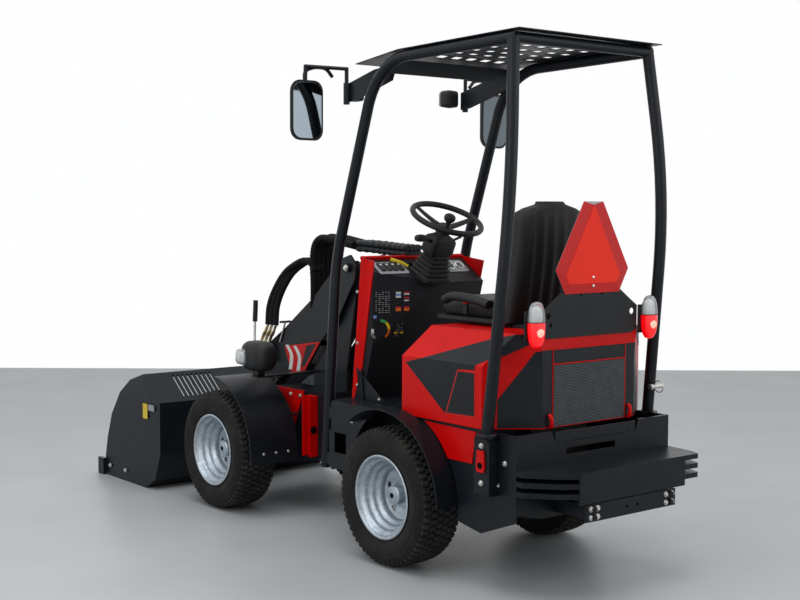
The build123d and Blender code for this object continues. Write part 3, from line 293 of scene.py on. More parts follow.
# name: colour, roughness and what differs from the usual
FINISHES = {
    "anthracite paint": ((25, 29, 34), 0.36, dict(coat=0.03, mottle=0.12, grain=0.01, dust=0.015, shine=0.18)),
    "red paint": ((202, 8, 3), 0.36, dict(coat=0.03, mottle=0.07, grain=0.01, shine=0.16)),
    "tyre rubber": ((24, 24, 25), 0.8, dict(mottle=0.15, grain=0.04, dust=0.06, scale=9, shine=0.25)),
    "tread rubber": ((46, 46, 45), 0.9, dict(mottle=0.2, grain=0.05, dust=0.12, scale=24, shine=0.2)),
    "galvanised zinc": ((164, 174, 182), 0.38, dict(metal=0.75, mottle=0.10, scale=70, pattern="crystal")),
    "bright zinc": ((200, 200, 196), 0.28, dict(metal=0.9, mottle=0.08, scale=60)),
    "chromed rod": ((216, 218, 220), 0.12, dict(metal=1.0, mottle=0.03, spread=0.03)),
    "moulded plastic": ((22, 23, 25), 0.5, dict(mottle=0.1, grain=0.03, grain_scale=700, shine=0.3)),
    "console plastic": ((22, 24, 29), 0.5, dict(mottle=0.08, grain=0.04, grain_scale=600, shine=0.25)),
    "seat cover": ((22, 22, 24), 0.5,
                   dict(mottle=0.12, grain=0.06, grain_scale=420, pattern="leather", shine=0.3)),
    "hose sleeve": ((20, 20, 22), 0.85,
                    dict(mottle=0.2, grain=0.10, grain_scale=260, pattern="weave", shine=0.2)),
    "hose wrap": ((24, 28, 31), 0.4, dict(mottle=0.15, grain=0.03, shine=0.25)),
    "red lens": ((226, 12, 22), 0.15, dict(coat=0.4, mottle=0.05, glow=0.75)),
    "amber lens": ((255, 160, 140), 0.15, dict(coat=0.4, mottle=0.05, glow=1.0)),
    "clear lens": ((222, 226, 230), 0.08, dict(coat=0.4, mottle=0.02, clear=0.75, spread=0.03)),
    "white lens": ((222, 222, 218), 0.18, dict(coat=0.4, mottle=0.03, glow=0.1)),
    # the two sign finishes glow a little though they are no lamps: painted light on the sign and on the hood's red
    # outline
    "sign orange with painted glow": ((234, 44, 22), 0.55, dict(mottle=0.04, grain=0.03, glow=0.10, shine=0.3)),
    "sign red with painted glow": ((196, 16, 14), 0.4, dict(mottle=0.05, grain=0.03, glow=0.04, shine=0.3)),
    "brass": ((214, 200, 166), 0.25, dict(metal=0.95, mottle=0.1, scale=40)),
    "engine iron": ((60, 60, 60), 0.6, dict(metal=0.5, mottle=0.2)),
    "rubber": ((30, 31, 32), 0.7, dict(mottle=0.12, grain=0.04, shine=0.3)),
    "woven wire": ((92, 98, 102), 0.42, dict(metal=0.6, mottle=0.12, scale=30)),
    "mirror glass": ((104, 112, 118), 0.04, dict(metal=1.0, mottle=0.02, spread=0.01, grain=0.0)),
    # painted shade: a near-black finish for plates and discs that stand in for the shade inside holes and openings
    "painted hole shade": ((6, 6, 7), 0.9, dict(mottle=0.2, shine=0.1)),
    "plate white": ((222, 224, 222), 0.4, dict(mottle=0.04)),
    "plate grey": ((150, 154, 158), 0.35, dict(metal=0.5, mottle=0.06)),
    "dial face": ((38, 60, 54), 0.3, dict(coat=0.3, mottle=0.10)),
    "plate yellow": ((222, 190, 30), 0.4, dict(mottle=0.05)),
    "plate blue": ((120, 150, 215), 0.4, dict(mottle=0.05)),
    "plate green": ((60, 170, 90), 0.4, dict(mottle=0.05)),
    "plate orange": ((226, 110, 40), 0.4, dict(mottle=0.05)),
    "plate pink": ((200, 40, 60), 0.4, dict(mottle=0.05)),
}
looks = {name: finish(name, colour, rough, **more) for name, (colour, rough, more) in FINISHES.items()}
print(len(looks), "finishes made")

# %% [markdown]
# A CAD solid whose shape is right keeps its mesh and only gets a better finish. The packed
# model already names what each solid is made of, so a short table from those names to the
# finishes above dresses all of them at once.

# %% Dress the CAD solids
FROM_SLOT = {
    "paint_dark": "anthracite paint", "paint_red": "red paint", "tyre": "tyre rubber", "zinc": "galvanised zinc",
    "chrome_rod": "chromed rod", "black_plastic": "moulded plastic", "console_black": "console plastic",
    "seat_cover": "seat cover", "lens_red": "red lens", "sign_red": "sign orange with painted glow", "brass": "brass",
    "engine_iron": "engine iron", "rubber": "rubber",
}
for node in nodes.values():
    for material_slot in node.material_slots:
        material_slot.material = looks[FROM_SLOT[material_slot.material.name]]
print("all", len(nodes), "solids have a finish")


# %% [markdown]
# New pieces all go through one door. It makes the mesh, welds doubled points, turns the faces
# outwards, shades gentle angles smooth, and then says which body carries the piece, so that it
# moves when the machine moves.

# %% One door for every new piece
USUAL_SLOT = {look: slot for slot, look in FROM_SLOT.items()}
USUAL_SLOT.update({
    "tread rubber": "tyre", "bright zinc": "zinc", "mirror glass": "chrome_rod", "sign red with painted glow": "sign_red",
    "amber lens": "lens_red", "clear lens": "lens_red", "white lens": "lens_red",
    "hose sleeve": "rubber", "hose wrap": "rubber",
})


def piece(name, surface, look, body, instead_of=(), slot=None, smooth=38.0, bevel=0.0):
    """Mesh from points and faces, in metres, carried by a body, with an optional rounded edge."""
    points, faces = surface
    mesh = bpy.data.meshes.new(name)
    mesh.from_pydata(metres(points).tolist(), [], faces)
    work = bmesh.new()
    work.from_mesh(mesh)
    bmesh.ops.remove_doubles(work, verts=work.verts, dist=1e-6)
    bmesh.ops.recalc_face_normals(work, faces=work.faces)
    work.to_mesh(mesh)
    work.free()
    mesh.materials.append(looks[look])
    mesh.shade_smooth()
    mesh.set_sharp_from_angle(angle=math.radians(smooth))
    obj = bpy.data.objects.new(name, mesh)
    bpy.context.scene.collection.objects.link(obj)
    if bevel:
        rounding = obj.modifiers.new("edge", "BEVEL")
        rounding.width = bevel / 1000.0
        rounding.segments = 2
        rounding.limit_method = "ANGLE"
        rounding.angle_limit = math.radians(40)
    if body:
        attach(obj, body)
    if instead_of:
        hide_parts(*instead_of)
    return obj


def pair(name, surface, look, body, *more, **others):
    """A left piece and its mirror image as one object."""
    return piece(name, merge(surface, mirrored(surface)), look, body, *more, **others)


def bolt(centre, axis, size=9.0, sign=1):
    """A washer and a chamfered hexagon: two lathe profiles, the second with six steps round."""
    foot, rim, top = sign * 2, sign * (1.5 + size * 0.6), sign * (2 + size * 0.7)
    head = [(POLE, foot), (size, foot), (size, rim), (size * 0.84, top), (POLE, top)]
    return merge(disc(size * 1.25, 0, foot, centre, 20, axis), lathe(head, centre, 6, axis=axis))


print("pieces can be made, mirrored and bolted")

# %% [markdown]
# ## Wheels
# Turf tyres have six rows of low, slightly bent blocks, so that they do not cut a lawn. A
# carved tread could be a displacement map, but then the outline stays smooth. Here each block
# is a small raised solid: one block is worked out for all places at once.

# %% Tyres
CARCASS = [
    (168, -70), (172, -86), (186, -97), (206, -103.5), (228, -105), (250, -103.5), (266, -99), (277, -90),
    (282, -70), (284, -36), (285, 0), (284, 36), (282, 70), (277, 90), (266, 99), (250, 103.5), (228, 105),
    (206, 103.5), (186, 97), (172, 86), (168, 70),
]
RIBS = ((229, 104.6, 3, 1.4), (252, 103.0, 2, 1.0))  # radius, face, half width, height
TREAD_ROWS = np.array([-80.0, -48.0, -16.0, 16.0, 48.0, 80.0])
BLOCKS_ROUND = 60
# one block: corners along the tread (share of the pitch) and across it (mm), bent in the middle
BLOCK_ALONG = np.array([-0.34, -0.20, -0.34, 0.30, 0.44, 0.30])
BLOCK_ACROSS = np.array([-14.0, 0.0, 14.0, 14.0, 0.0, -14.0])
FOOT_AND_TOP = np.array([1.0, 0.86])[None, None, :, None]
FOOT_DEPTH = np.array([9.0, 0.0])[None, None, :, None]
CROWN_FALL, CROWN_HALF = 10.0, 94.0


def tread(centre):
    """Blocks in rows: angle = place / count, radius falls with a power of the distance from the middle."""
    turn = (np.arange(BLOCKS_ROUND) * 2 * np.pi / BLOCKS_ROUND)[:, None, None, None]
    pitch = 2 * np.pi / BLOCKS_ROUND
    odd = (np.arange(len(TREAD_ROWS)) % 2)[None, :, None, None]
    angle = turn + pitch * (odd * 0.5 + BLOCK_ALONG * (1.0 - 2.0 * odd) * FOOT_AND_TOP)
    y = np.broadcast_to(TREAD_ROWS[None, :, None, None] + BLOCK_ACROSS * FOOT_AND_TOP, angle.shape)
    radius = TYRE_R - CROWN_FALL * (np.abs(y) / CROWN_HALF) ** 3.2 - FOOT_DEPTH
    blocks = np.stack([radius * np.sin(angle), y, radius * np.cos(angle)], -1)
    blocks = blocks.reshape(-1, 2, 6, 3) + np.asarray(centre, float)
    start = np.arange(len(blocks))[:, None] * 12
    k = np.arange(6)
    walls = np.stack([k, (k + 1) % 6, (k + 1) % 6 + 6, k + 6], -1)
    faces = (start[:, :, None] + walls[None]).reshape(-1, 4).tolist()
    return blocks.reshape(-1, 3), faces + (start + k + 6).tolist() + (start + k).tolist()


WHEELS = [
    (f"{end}_{hand}", side, (x, side * WHEEL_Y, TYRE_R))
    for end, x in (("rear", 0.0), ("front", WHEELBASE))
    for hand, side in (("left", LEFT), ("right", RIGHT))
]
for place, side, centre in WHEELS:
    body = f"wheel_{place}"
    walls = lathe(CARCASS, centre, 144, closed=True)
    piece(f"tyre_walls_{place}", walls, "tyre rubber", body, (f"tyre_{place}",))
    ribs = []
    for radius, face, half, rise in RIBS:
        low, high = side * face, side * (face + rise)
        profile = [(radius + share * half, level) for share, level in
                   ((-1, low), (-0.5, high), (0.5, high), (1, low))]
        ribs.append(lathe(profile, centre, 144, closed=True))
    piece(f"tyre_ribs_{place}", merge(*ribs), "tyre rubber", body)
    piece(f"tyre_tread_{place}", tread(centre), "tread rubber", body, smooth=20)
print("tyres:", 4 * len(TREAD_ROWS) * BLOCKS_ROUND, "tread blocks")

# %% [markdown]
# The rims are pressed from galvanised sheet: a rolled lip, a stepped well and a deep disc with
# five rounded openings round the hub. The barrel is one lathe profile. The disc is five equal
# sectors, and each sector is a skin between two loops: the outline of the sector and the
# outline of its opening. That gives a clean hole without cutting anything.

# %% Rims
DISC_Y, DISC_THICK, DISC_DISH = -7.0, 6.0, 12.0
DISC_OUT, DISC_IN = 106.0, 40.0
OPENINGS, OPENING_R, OPENING_SIZE = 5, 82.0, 13.0
BARREL = [
    (172, 91), (176, 94), (176, 98), (171, 100), (165, 98), (162, 92), (160, 84), (154, 79), (146, 74), (143, 66),
    (142, 56), (138, 50), (131, 46), (127, 40), (126, 31), (122, 24), (114, 19), (109, 12), (107, 2), (106, -7),
    (106, -12), (112, -10), (118, -30), (140, -60), (160, -84), (174, -92), (176, -96), (178, -92), (168, -78),
    (150, -56), (130, -28), (128, 10), (140, 30), (150, 60), (166, 86),
]
HUB = [(POLE, 44), (14, 44), (18, 42), (36, 40), (40, 36), (40, -4), (46, -8), (62, -12), (62, -22), (POLE, -22)]


def vented_disc(centre, side, steps=12):
    """Skin from opening to sector edge: a blend of two loops, point = (1 - t) * hole + t * edge."""
    half = np.pi / OPENINGS
    unit = np.linspace(-1, 1, steps, endpoint=False)
    one = np.ones(steps)
    u = np.concatenate([unit, one, -unit, -one])
    v = np.concatenate([-one, unit, one, -unit])
    edge_r = (DISC_OUT + DISC_IN) / 2 + (DISC_OUT - DISC_IN) / 2 * u
    turn = np.arctan2(v, u)
    # a rounded triangle that points to the hub: the radius swells three times round
    size = OPENING_SIZE * (1 + 0.18 * np.cos(3 * (turn - np.pi)))
    t = np.linspace(0, 1, 6)[:, None]
    r = (1 - t) * (OPENING_R + size * np.cos(turn)) + t * edge_r
    a = (1 - t) * (size * np.sin(turn) / OPENING_R) + t * (half * v)
    y = DISC_Y - DISC_DISH * ((DISC_OUT - r) / (DISC_OUT - DISC_IN)) ** 0.7
    skins = []
    for k in range(OPENINGS):
        angle = a + 2 * half * k
        front = np.stack([r * np.sin(angle), side * y, r * np.cos(angle)], -1)
        back = front - (0.0, side * DISC_THICK, 0.0)
        points, faces = grid(np.concatenate([front, back[::-1]]), wrap_rows=True, wrap_columns=True)
        skins.append((points + np.asarray(centre, float), faces))
    return merge(*skins)


for place, side, centre in WHEELS:
    body = f"wheel_{place}"
    barrel = lathe([(r, side * h) for r, h in BARREL], centre, 128, closed=True)
    piece(f"rim_barrel_{place}", barrel, "galvanised zinc", body, (f"rim_{place}",))
    piece(f"rim_disc_{place}", vented_disc(centre, side), "galvanised zinc", body)
    piece(f"hub_{place}", lathe([(r, side * (h - 5)) for r, h in HUB], centre, 64), "galvanised zinc", body)
    # painted shade: a dark disc in the hub stands for the shade in its hole, and one behind the disc for the shade
    # seen through the openings
    piece(f"hub_hole_shade_{place}", disc(11, side * 40.2, side * 39.0, centre, 32), "painted hole shade", body)
    piece(f"rim_back_shade_{place}", disc(104, side * -62, side * -64, centre, 48), "painted hole shade", body)
print("rims: lip, stepped well, five openings each")

# %% [markdown]
# ## Engine hood
# The hood is red with large dark fields. The real fields are foil on the paint. They could be
# painted by a texture, but a foil also has an edge and its own gloss, so each one here is a
# thin plate laid on the flat it covers, three quarters of a millimetre proud.

# %% Dark fields and outlines on the hood
HOOD_SIDE, HOOD_REAR = 450.1, -661.0
HOOD_MIDDLE = np.array((-340.0, 0.0, 800.0))
SIDE_BEVEL = ((-35, 450, 880), (-522, 450, 880), (-605, 350, 1005), (-105, 350, 1005))
CORNER_LOW = ((-522, 450, 637), (-660, 262, 637), (-660, 262, 880), (-522, 450, 880))
CORNER_HIGH = ((-522, 450, 880), (-660, 262, 880), (-660, 275, 1005), (-605, 350, 1005))


def on_side(name, corners, look, lift=0.7, slot=None):
    """A plate on the hood's upright sides: corners as (x, z), on the left and mirrored on the right."""
    pair(name, slab(corners, "xz", HOOD_SIDE, HOOD_SIDE + lift), look, "engine_hood", slot=slot)


def facet(shares, corners, out=0.15, lift=0.8):
    """A plate on a four-cornered facet: each corner is a blend by two shares, along and up the facet."""
    a, b, c, d = [np.asarray(corner, float) for corner in corners]
    u, v = np.asarray(shares, float).T[:, :, None]
    place = (1 - u) * (1 - v) * a + u * (1 - v) * b + u * v * c + (1 - u) * v * d
    normal = np.cross(b - a, d - a)
    normal = normal / np.linalg.norm(normal)
    if normal @ (a - HOOD_MIDDLE) < 0:
        normal = -normal
    return loft(np.stack([place + normal * out, place + normal * (out + lift)]))


on_side("hood_side_field", [(-58, 855), (-158, 880.3), (-482, 880.3), (-482, 862), (-384, 856), (-308, 672)],
        "anthracite paint")
# the red outline glows a little: painted light from the sign's red finish
on_side("hood_window_outline", [(-381, 854), (-309, 671), (-487, 676), (-485, 856)], "sign red with painted glow", 1.1, "paint_red")
on_side("hood_window", [(-384, 848), (-317, 677), (-481, 682), (-479, 850)], "moulded plastic", 1.6)
louvres = []
for z in range(692, 846, 9):
    x = -322 - (z - 677) * 62 / 171
    louvre = [(x - 4, z), (-476, z), (-476, z + 4), (x - 5, z + 4)]
    louvres.append(slab(louvre, "xz", HOOD_SIDE + 1.6, HOOD_SIDE + 2.5))
pair("hood_louvres", merge(*louvres), "console plastic", "engine_hood", slot="black_plastic")
bevel_shares = [(0.255, -0.002), (0.915, -0.002), (1.0, 0.22), (1.0, 0.985), (0.79, 0.77)]
high_shares = [(-0.002, 0.22), (0.24, 0.34), (0.77, 0.72), (1.0, 0.86), (1.0, 0.985), (-0.002, 0.985)]
foot_shares = [(0.70, -0.003), (1.002, -0.003), (1.002, 0.48), (0.85, 0.44)]
low_shares = [(0.26, 0.02), (1.003, 0.02), (1.003, 1.0), (0.70, 1.0), (0.26, 0.47)]
facets = [facet(bevel_shares, SIDE_BEVEL), facet(high_shares, CORNER_HIGH, 1.0), facet(foot_shares, CORNER_HIGH)]
pair("hood_bevel_field", merge(*facets), "anthracite paint", "engine_hood")
pair("hood_corner_field", facet(low_shares, CORNER_LOW), "anthracite paint", "engine_hood")
rear_outline = [(-262.4, 642), (262.4, 642), (262.4, 880), (268, 941), (-268, 941), (-262.4, 880)]
piece("hood_rear_field", slab(rear_outline, "yz", HOOD_REAR, HOOD_REAR + 0.8), "anthracite paint", "engine_hood")
print("hood fields laid")

# %% [markdown]
# The rear opening is closed by a woven wire mesh. A picture of a mesh would look flat from the
# side, so it is really woven: every wire is a narrow ribbon whose depth is a sine of its
# place, and the wires that cross it use the same sine the other way up.

# %% Woven grille
GRILLE_LOW, GRILLE_HIGH, GRILLE_Y = 643.0, 877.0, 201.0
WIRE_PITCH, WIRE_HALF, WIRE_SWING = 6.0, 1.0, 1.1
MESH_X = HOOD_REAR - 2.0


def wires(reach, length):
    """Ribbons side by side: depth = cosine of place over pitch, its sign changing from wire to wire."""
    count = int(reach / WIRE_PITCH) + 1
    s = np.linspace(0, length, int(length / WIRE_PITCH * 4) + 1)
    k = np.arange(count)[:, None]
    depth = WIRE_SWING * np.cos(np.pi * s[None] / WIRE_PITCH + np.pi * k)
    low = np.stack([np.broadcast_to(s, depth.shape), k * WIRE_PITCH - WIRE_HALF + 0 * depth, depth], -1)
    high = low + (0, 2 * WIRE_HALF, 0)
    columns = len(s)
    a = k * 2 * columns + np.arange(columns - 1)[None]
    faces = np.stack([a, a + 1, a + columns + 1, a + columns], -1).reshape(-1, 4).tolist()
    return np.stack([low, high], 1).reshape(-1, 3), faces


height, width = GRILLE_HIGH - GRILLE_LOW, 2 * GRILLE_Y
up, up_faces = wires(width, height)
up = np.stack([MESH_X - up[:, 2], up[:, 1] - GRILLE_Y, up[:, 0] + GRILLE_LOW], -1)
level, level_faces = wires(height, width)
level = np.stack([MESH_X + level[:, 2], level[:, 0] - GRILLE_Y, level[:, 1] + GRILLE_LOW], -1)
piece("grille_mesh", merge((up, up_faces), (level, level_faces)), "woven wire", "engine_hood")
# painted shade: a near-black plate behind the mesh stands for the shade inside the engine bay
backing = slab(rounded((-203, 641), (203, 879), 3), "yz", HOOD_REAR - 0.8, HOOD_REAR)
piece("grille_shade_plate", backing, "painted hole shade", "engine_hood")
top_strip = slab(rounded((-203, 888), (203, 938), 3), "yz", HOOD_REAR - 1.6, HOOD_REAR)
piece("grille_top_strip", top_strip, "anthracite paint", "engine_hood", bevel=0.6)
border = [slab(square(low, high), "yz", HOOD_REAR - 2.4, HOOD_REAR) for low, high in (
    ((-208, 881), (208, 886)), ((-209, 638), (-205, 941)), ((205, 638), (209, 941)), ((-209, 940), (209, 944)))]
piece("grille_outline", merge(*border), "red paint", "engine_hood", bevel=0.8)
latches = []
for side in (LEFT, RIGHT):
    path = [(-666, side * 222, 640), (-676, side * 224, 652), (-676, side * 226, 676), (-664, side * 227, 690)]
    latches.append(tube(curve(path, 16), 8, 10, up=ACROSS))
piece("hood_latches", merge(*latches), "red paint", "engine_hood", slot="rubber")
print("grille woven with", int(width / WIRE_PITCH) + int(height / WIRE_PITCH) + 2, "wires")

# %% [markdown]
# ## Slow vehicle sign, lamp plate and tail lamps
# The sign is a bent aluminium plate: a bright middle and darker borders that fold slightly
# back. Flat plates of two colours could do, but the folded border catches another light, as in
# the photograph, so the border is a strip between an inner and an outer outline.

# %% Sign
OUTER = np.array([(-154, 1154), (154, 1154), (207, 1248), (55, 1514), (-55, 1514), (-207, 1248)], float)
INNER = np.array([(-135, 1192), (135, 1192), (154, 1226), (0, 1500), (0, 1500), (-154, 1226)], float)
FOLD_BACK, FOLD_FRONT, SIGN_FACE = -670.6, -674.2, -675.2


def band(a):
    """A strip from corner a to the next on the outer outline, and back on the inner one in front."""
    b = (a + 1) % 6
    p = np.array([*((FOLD_BACK, *OUTER[k]) for k in (a, b)), *((FOLD_FRONT, *INNER[k]) for k in (b, a))])
    normal = np.cross(p[1] - p[0], p[2] - p[1])
    normal *= 1.2 / np.linalg.norm(normal)
    return loft(np.stack([p, p + normal]))


# Both sign plates have a little painted glow, though the sign is no lamp.
middle = slab(INNER[[0, 1, 2, 3, 5]], "yz", SIGN_FACE, SIGN_FACE + 1.6)
piece("sign_middle", middle, "sign orange with painted glow", "engine_hood", ("smv_triangle",))
piece("sign_borders", merge(*[band(a) for a in (0, 1, 2, 4, 5)]), "sign red with painted glow", "engine_hood")
piece("sign_back", slab(OUTER, "yz", FOLD_BACK, FOLD_BACK + 1.2), "plate grey", "engine_hood", slot="zinc")
piece("sign_spacer", box((-669.6, -30, 1158), (-666.0, 30, 1172)), "bright zinc", "engine_hood")
DOME = [(POLE, -3.2), (4, -3), (6, -1.5), (6.5, 0), (POLE, 0)]
screws = [lathe(DOME, (SIGN_FACE, 0, z), 20, axis="x") for z in (1216, 1182)]
piece("sign_screws", merge(*screws), "bright zinc", "engine_hood")

# %% [markdown]
# The tail lamps are upright capsules with a clear upper half and a red lower half on a black
# back. A capsule is a grid in which the rows are rounded rectangles that shrink towards both
# ends, so the same few lines give the lens and, made smaller, the bulb holder inside.

# %% Tail lamps and lamp plate
def capsule(centre, size, low=0.0, high=1.0, rows=18, power=2.6, sides=32):
    """Rings of half width (1 - |t|^power)^(1/power), with t from -1 at the bottom to 1 at the top."""
    t = np.linspace(-1 + 2 * low, -1 + 2 * high, rows)
    width = np.maximum(1 - np.abs(t) ** power, 0.0004) ** (1 / power)
    c, s = squarish(turns(sides), 3)
    x = width[:, None] * c[None] * size[0] / 2
    y = width[:, None] * s[None] * size[1] / 2
    z = np.broadcast_to(t[:, None] * size[2] / 2, x.shape)
    return loft(np.stack([x, y, z], -1) + np.asarray(centre, float))


LAMP, LAMP_SIZE, SEAM_SIZE = (-686, 323, 1044), (50, 72, 180), (52, 74, 182)
pair("lamp_lens_top", capsule(LAMP, LAMP_SIZE, 0.56, 1.0), "clear lens", "engine_hood", ("rear_lamps",))
pair("lamp_lens_low", capsule(LAMP, LAMP_SIZE, 0.0, 0.555), "red lens", "engine_hood")
pair("lamp_seam", capsule(LAMP, SEAM_SIZE, 0.55, 0.565, rows=3), "moulded plastic", "engine_hood")
pair("lamp_inner", capsule((-682, 323, 1072), (24, 44, 84), rows=12), "white lens", "engine_hood")
glow = lathe([(POLE, -3), (9, -2.4), (19, 0), (19, 2), (POLE, 2)], (-709.5, 323, 1018), 28, axis="x")
pair("lamp_glow", glow, "amber lens", "engine_hood")
pair("lamp_back", box((-670, 276, 980), (-662, 366, 1096)), "moulded plastic", "engine_hood", bevel=2)
PLATE_HOLES = ((226, 1036, 8), (60, 1150, 6), (20, 1156, 5), (-60, 1150, 6))  # y, z, radius
# painted shade: dark discs stand for the shade inside the lamp plate's holes
holes = [disc(r, -0.9, 0.2, (-666.0, y, z), 28, "x") for y, z, r in PLATE_HOLES]
piece("lamp_plate_hole_shades", merge(*holes), "painted hole shade", "engine_hood")
print("sign, two tail lamps and the lamp plate's holes are in place")

# %% [markdown]
# ## Seat
# The seat is one moulded shell with a padded cushion and a padded back. The pads are the only
# soft parts of the machine. A smooth subdivided box would look hard, so each pad starts a
# little small, is blown up by a short cloth simulation and is then kept as a mesh.

# %% Padded cushions
CELL_M, PRESSURE, CLOTH_FRAMES, SWELL_CAP_MM = 0.006, 4.0, 20, 9.0
CUSHION_LOW, CUSHION_THICK = 1028, 72
BACK_THICK, BACK_HIGH, BACK_FOOT = 58, 372, (-268, 1100)


def pad_form(outline, thick, pinch, rows=9):
    """Stacked copies of an outline [n, 2]; the sides pull in at top and bottom like a pillow's."""
    t = np.linspace(0, 1, rows)
    swell = pinch + (1 - pinch) * np.sin(np.pi * t) ** 0.6
    middle = outline.mean(0)
    flat = middle + (outline - middle)[None] * swell[:, None, None]
    return np.concatenate([flat, np.broadcast_to((thick * t)[:, None, None], (rows, len(outline), 1))], -1)


def bake_in(obj):
    """Every modifier's result becomes the object's own mesh."""
    ready = bpy.data.meshes.new_from_object(obj.evaluated_get(bpy.context.evaluated_depsgraph_get()))
    obj.modifiers.clear()
    obj.data = ready


def corners_of(obj):
    """The mesh's points as one array."""
    return np.array([v.co for v in obj.data.vertices])


def blown(obj):
    """Remesh, push the skin out with cloth pressure, limit each point's travel, smooth once."""
    remesh = obj.modifiers.new("even cells", "REMESH")
    remesh.mode = "VOXEL"
    remesh.voxel_size = CELL_M
    bake_in(obj)
    rest = corners_of(obj)
    cloth = obj.modifiers.new("cover", "CLOTH")
    cloth.settings.use_pressure = True
    cloth.settings.uniform_pressure_force = PRESSURE
    cloth.settings.effector_weights.gravity = 0.0
    cloth.settings.quality = 5
    for number in range(1, CLOTH_FRAMES + 1):
        bpy.context.scene.frame_set(number)
    bake_in(obj)
    step = corners_of(obj) - rest
    length = np.maximum(np.linalg.norm(step, axis=1), 1e-9)[:, None]
    moved = rest + step * np.minimum(1.0, SWELL_CAP_MM / 1000.0 / length)
    obj.data.vertices.foreach_set("co", moved.astype(np.float32).ravel())
    bpy.context.scene.frame_set(1)
    finer = obj.modifiers.new("finer", "SUBSURF")
    finer.levels = finer.render_levels = 1
    bake_in(obj)
    obj.data.shade_smooth()


cushion_rings = pad_form(rounded((-385, -208), (42, 208), 60, 7), CUSHION_THICK, 0.88)
x, y, z = cushion_rings[..., 0], cushion_rings[..., 1], cushion_rings[..., 2]
lift = np.interp(x, (-385, -300, -40, 42), (6, 0, 4, 10))
z = CUSHION_LOW + z + lift * (z / CUSHION_THICK)
z = z - 6 * (1 - np.abs(y) / 208) * (z > 1080)
cushion = piece("seat_cushion_pad", loft(np.stack([x, y, z], -1)), "seat cover", None, ("seat_cushion",))
blown(cushion)
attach(cushion, "engine_hood")

back_rings = pad_form(rounded((-178, 0), (178, BACK_HIGH), 70, 7), BACK_THICK, 0.84)
u, v, w = back_rings[..., 0], back_rings[..., 1], back_rings[..., 2]
lean = math.radians(17)
back_points = np.stack([
    BACK_FOOT[0] - v * math.sin(lean) - (BACK_THICK - w) * math.cos(lean) - 4,
    u * (1 - 0.12 * np.clip(v / BACK_HIGH, 0, 1)),
    BACK_FOOT[1] + v * math.cos(lean) - (BACK_THICK - w) * math.sin(lean)], -1)
back_pad = piece("seat_back_pad", loft(back_points), "seat cover", None, ("seat_back",))
blown(back_pad)
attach(back_pad, "engine_hood")
print("cushions:", len(cushion.data.polygons), "and", len(back_pad.data.polygons), "faces")

# %% [markdown]
# Behind the padding stands a ribbed plastic shell. Its outline is a rounded rectangle that
# narrows upwards, and its back swells out. Shallow upright ribs stiffen it. They are a sine
# added to the depth, strongest in the middle of the panel, so no rib has to be drawn.

# %% Ribbed seat shell
SHELL_FOOT, SHELL_HIGH = (-352, 1024), 478
RIB_DEPTH, RIB_PITCH, RIBBED_HALF = 4.5, 9.5, 160
t = np.linspace(0, 1, 30)[:, None]
c, s = squarish(turns(120)[None], 5)
half_width = 204 - 26 * t**2 - 120 * np.clip((t - 0.86) / 0.14, 0, 1) ** 3
y = half_width * np.clip(s, -1, 1)
depth = (58 - 20 * t) * np.clip(c, -1, 1)
back_side = np.clip(-c, 0, 1)
fade = np.clip(np.sin(np.pi * t) * 1.6, 0, 1)
ribs = RIB_DEPTH * np.sin(y / RIB_PITCH) * back_side * fade * (np.abs(y) < RIBBED_HALF)
bulge = 34 * back_side * np.sin(np.pi * np.clip(t * 1.05, 0, 1)) * 0.5
x = SHELL_FOOT[0] - 62 * t - 12 * t**2 + depth - bulge - ribs - 12 * back_side
shell = np.stack([x, y, SHELL_FOOT[1] + SHELL_HIGH * t + 0 * y], -1)
top = shell[-1:] * (1, 0.8, 1) + (4, 0, 12)
piece("seat_shell", loft(np.concatenate([shell, top])), "moulded plastic", "engine_hood", smooth=60)
SKIRT = ((-395, 44, 216, 50, 1012), (-400, 48, 222, 54, 1022), (-396, 46, 218, 52, 1036))
skirt = []
for back, front, half, radius, z in SKIRT:
    outline = rounded((back, -half), (front, half), radius, 7)
    skirt.append(np.column_stack([outline, np.full(len(outline), float(z))]))
piece("seat_base_skirt", loft(np.stack(skirt)), "moulded plastic", "engine_hood")
buckle = merge(box((-196, 226, 1050), (-168, 240, 1092)), box((-190, 228, 1092), (-174, 238, 1112)))
piece("seat_belt_stalk", buckle, "moulded plastic", "engine_hood", bevel=3)
piece("seat_belt_button", box((-193, 225, 1093), (-171, 241, 1106)), "red paint", "engine_hood", bevel=2)
arm_path = curve([(-330, 236, 1096), (-250, 240, 1112), (-120, 240, 1120), (-60, 238, 1104)], 28)
piece("seat_arm_rest", tube(arm_path, 24, 20, flat=0.8), "moulded plastic", "engine_hood")
print("seat shell ribbed")

# %% [markdown]
# ## Steering wheel, column and console
# The rim of the wheel is a torus, tilted as the column is. Tilting each part by hand would go
# wrong, so a small function turns points from the wheel's own plane into the machine's space.

# %% Steering wheel
COLUMN_FOOT = np.array((330.0, 0.0, 1177.0))
RAKE = math.radians(24.8)
AXIS = np.array((-math.sin(RAKE), 0.0, math.cos(RAKE)))
FLAT = np.array((math.cos(RAKE), 0.0, math.sin(RAKE)))
WHEEL_AT = COLUMN_FOOT + 288 * AXIS
RIM_R, RIM_THICK = 158, 13
# radius and height of each ring, in the wheel's plane
HUB_PROFILE = ((6, -64), (30, -62), (34, -54), (34, -44), (31, -34), (22, -28), (2, -26))
KNOB_PROFILE = ((9, -4), (11, 10), (9, 26), (12, 34), (22, 42), (26, 52), (24, 64), (15, 71), (1, 73))


def on_wheel(forward, left, up):
    """A point of the wheel's own plane in the machine's space: a sum of the plane's three directions."""
    forward, left, up = np.broadcast_arrays(*[np.asarray(a, float)[..., None] for a in (forward, left, up)])
    return WHEEL_AT + forward * FLAT + left * np.array(ACROSS, float) + up * AXIS


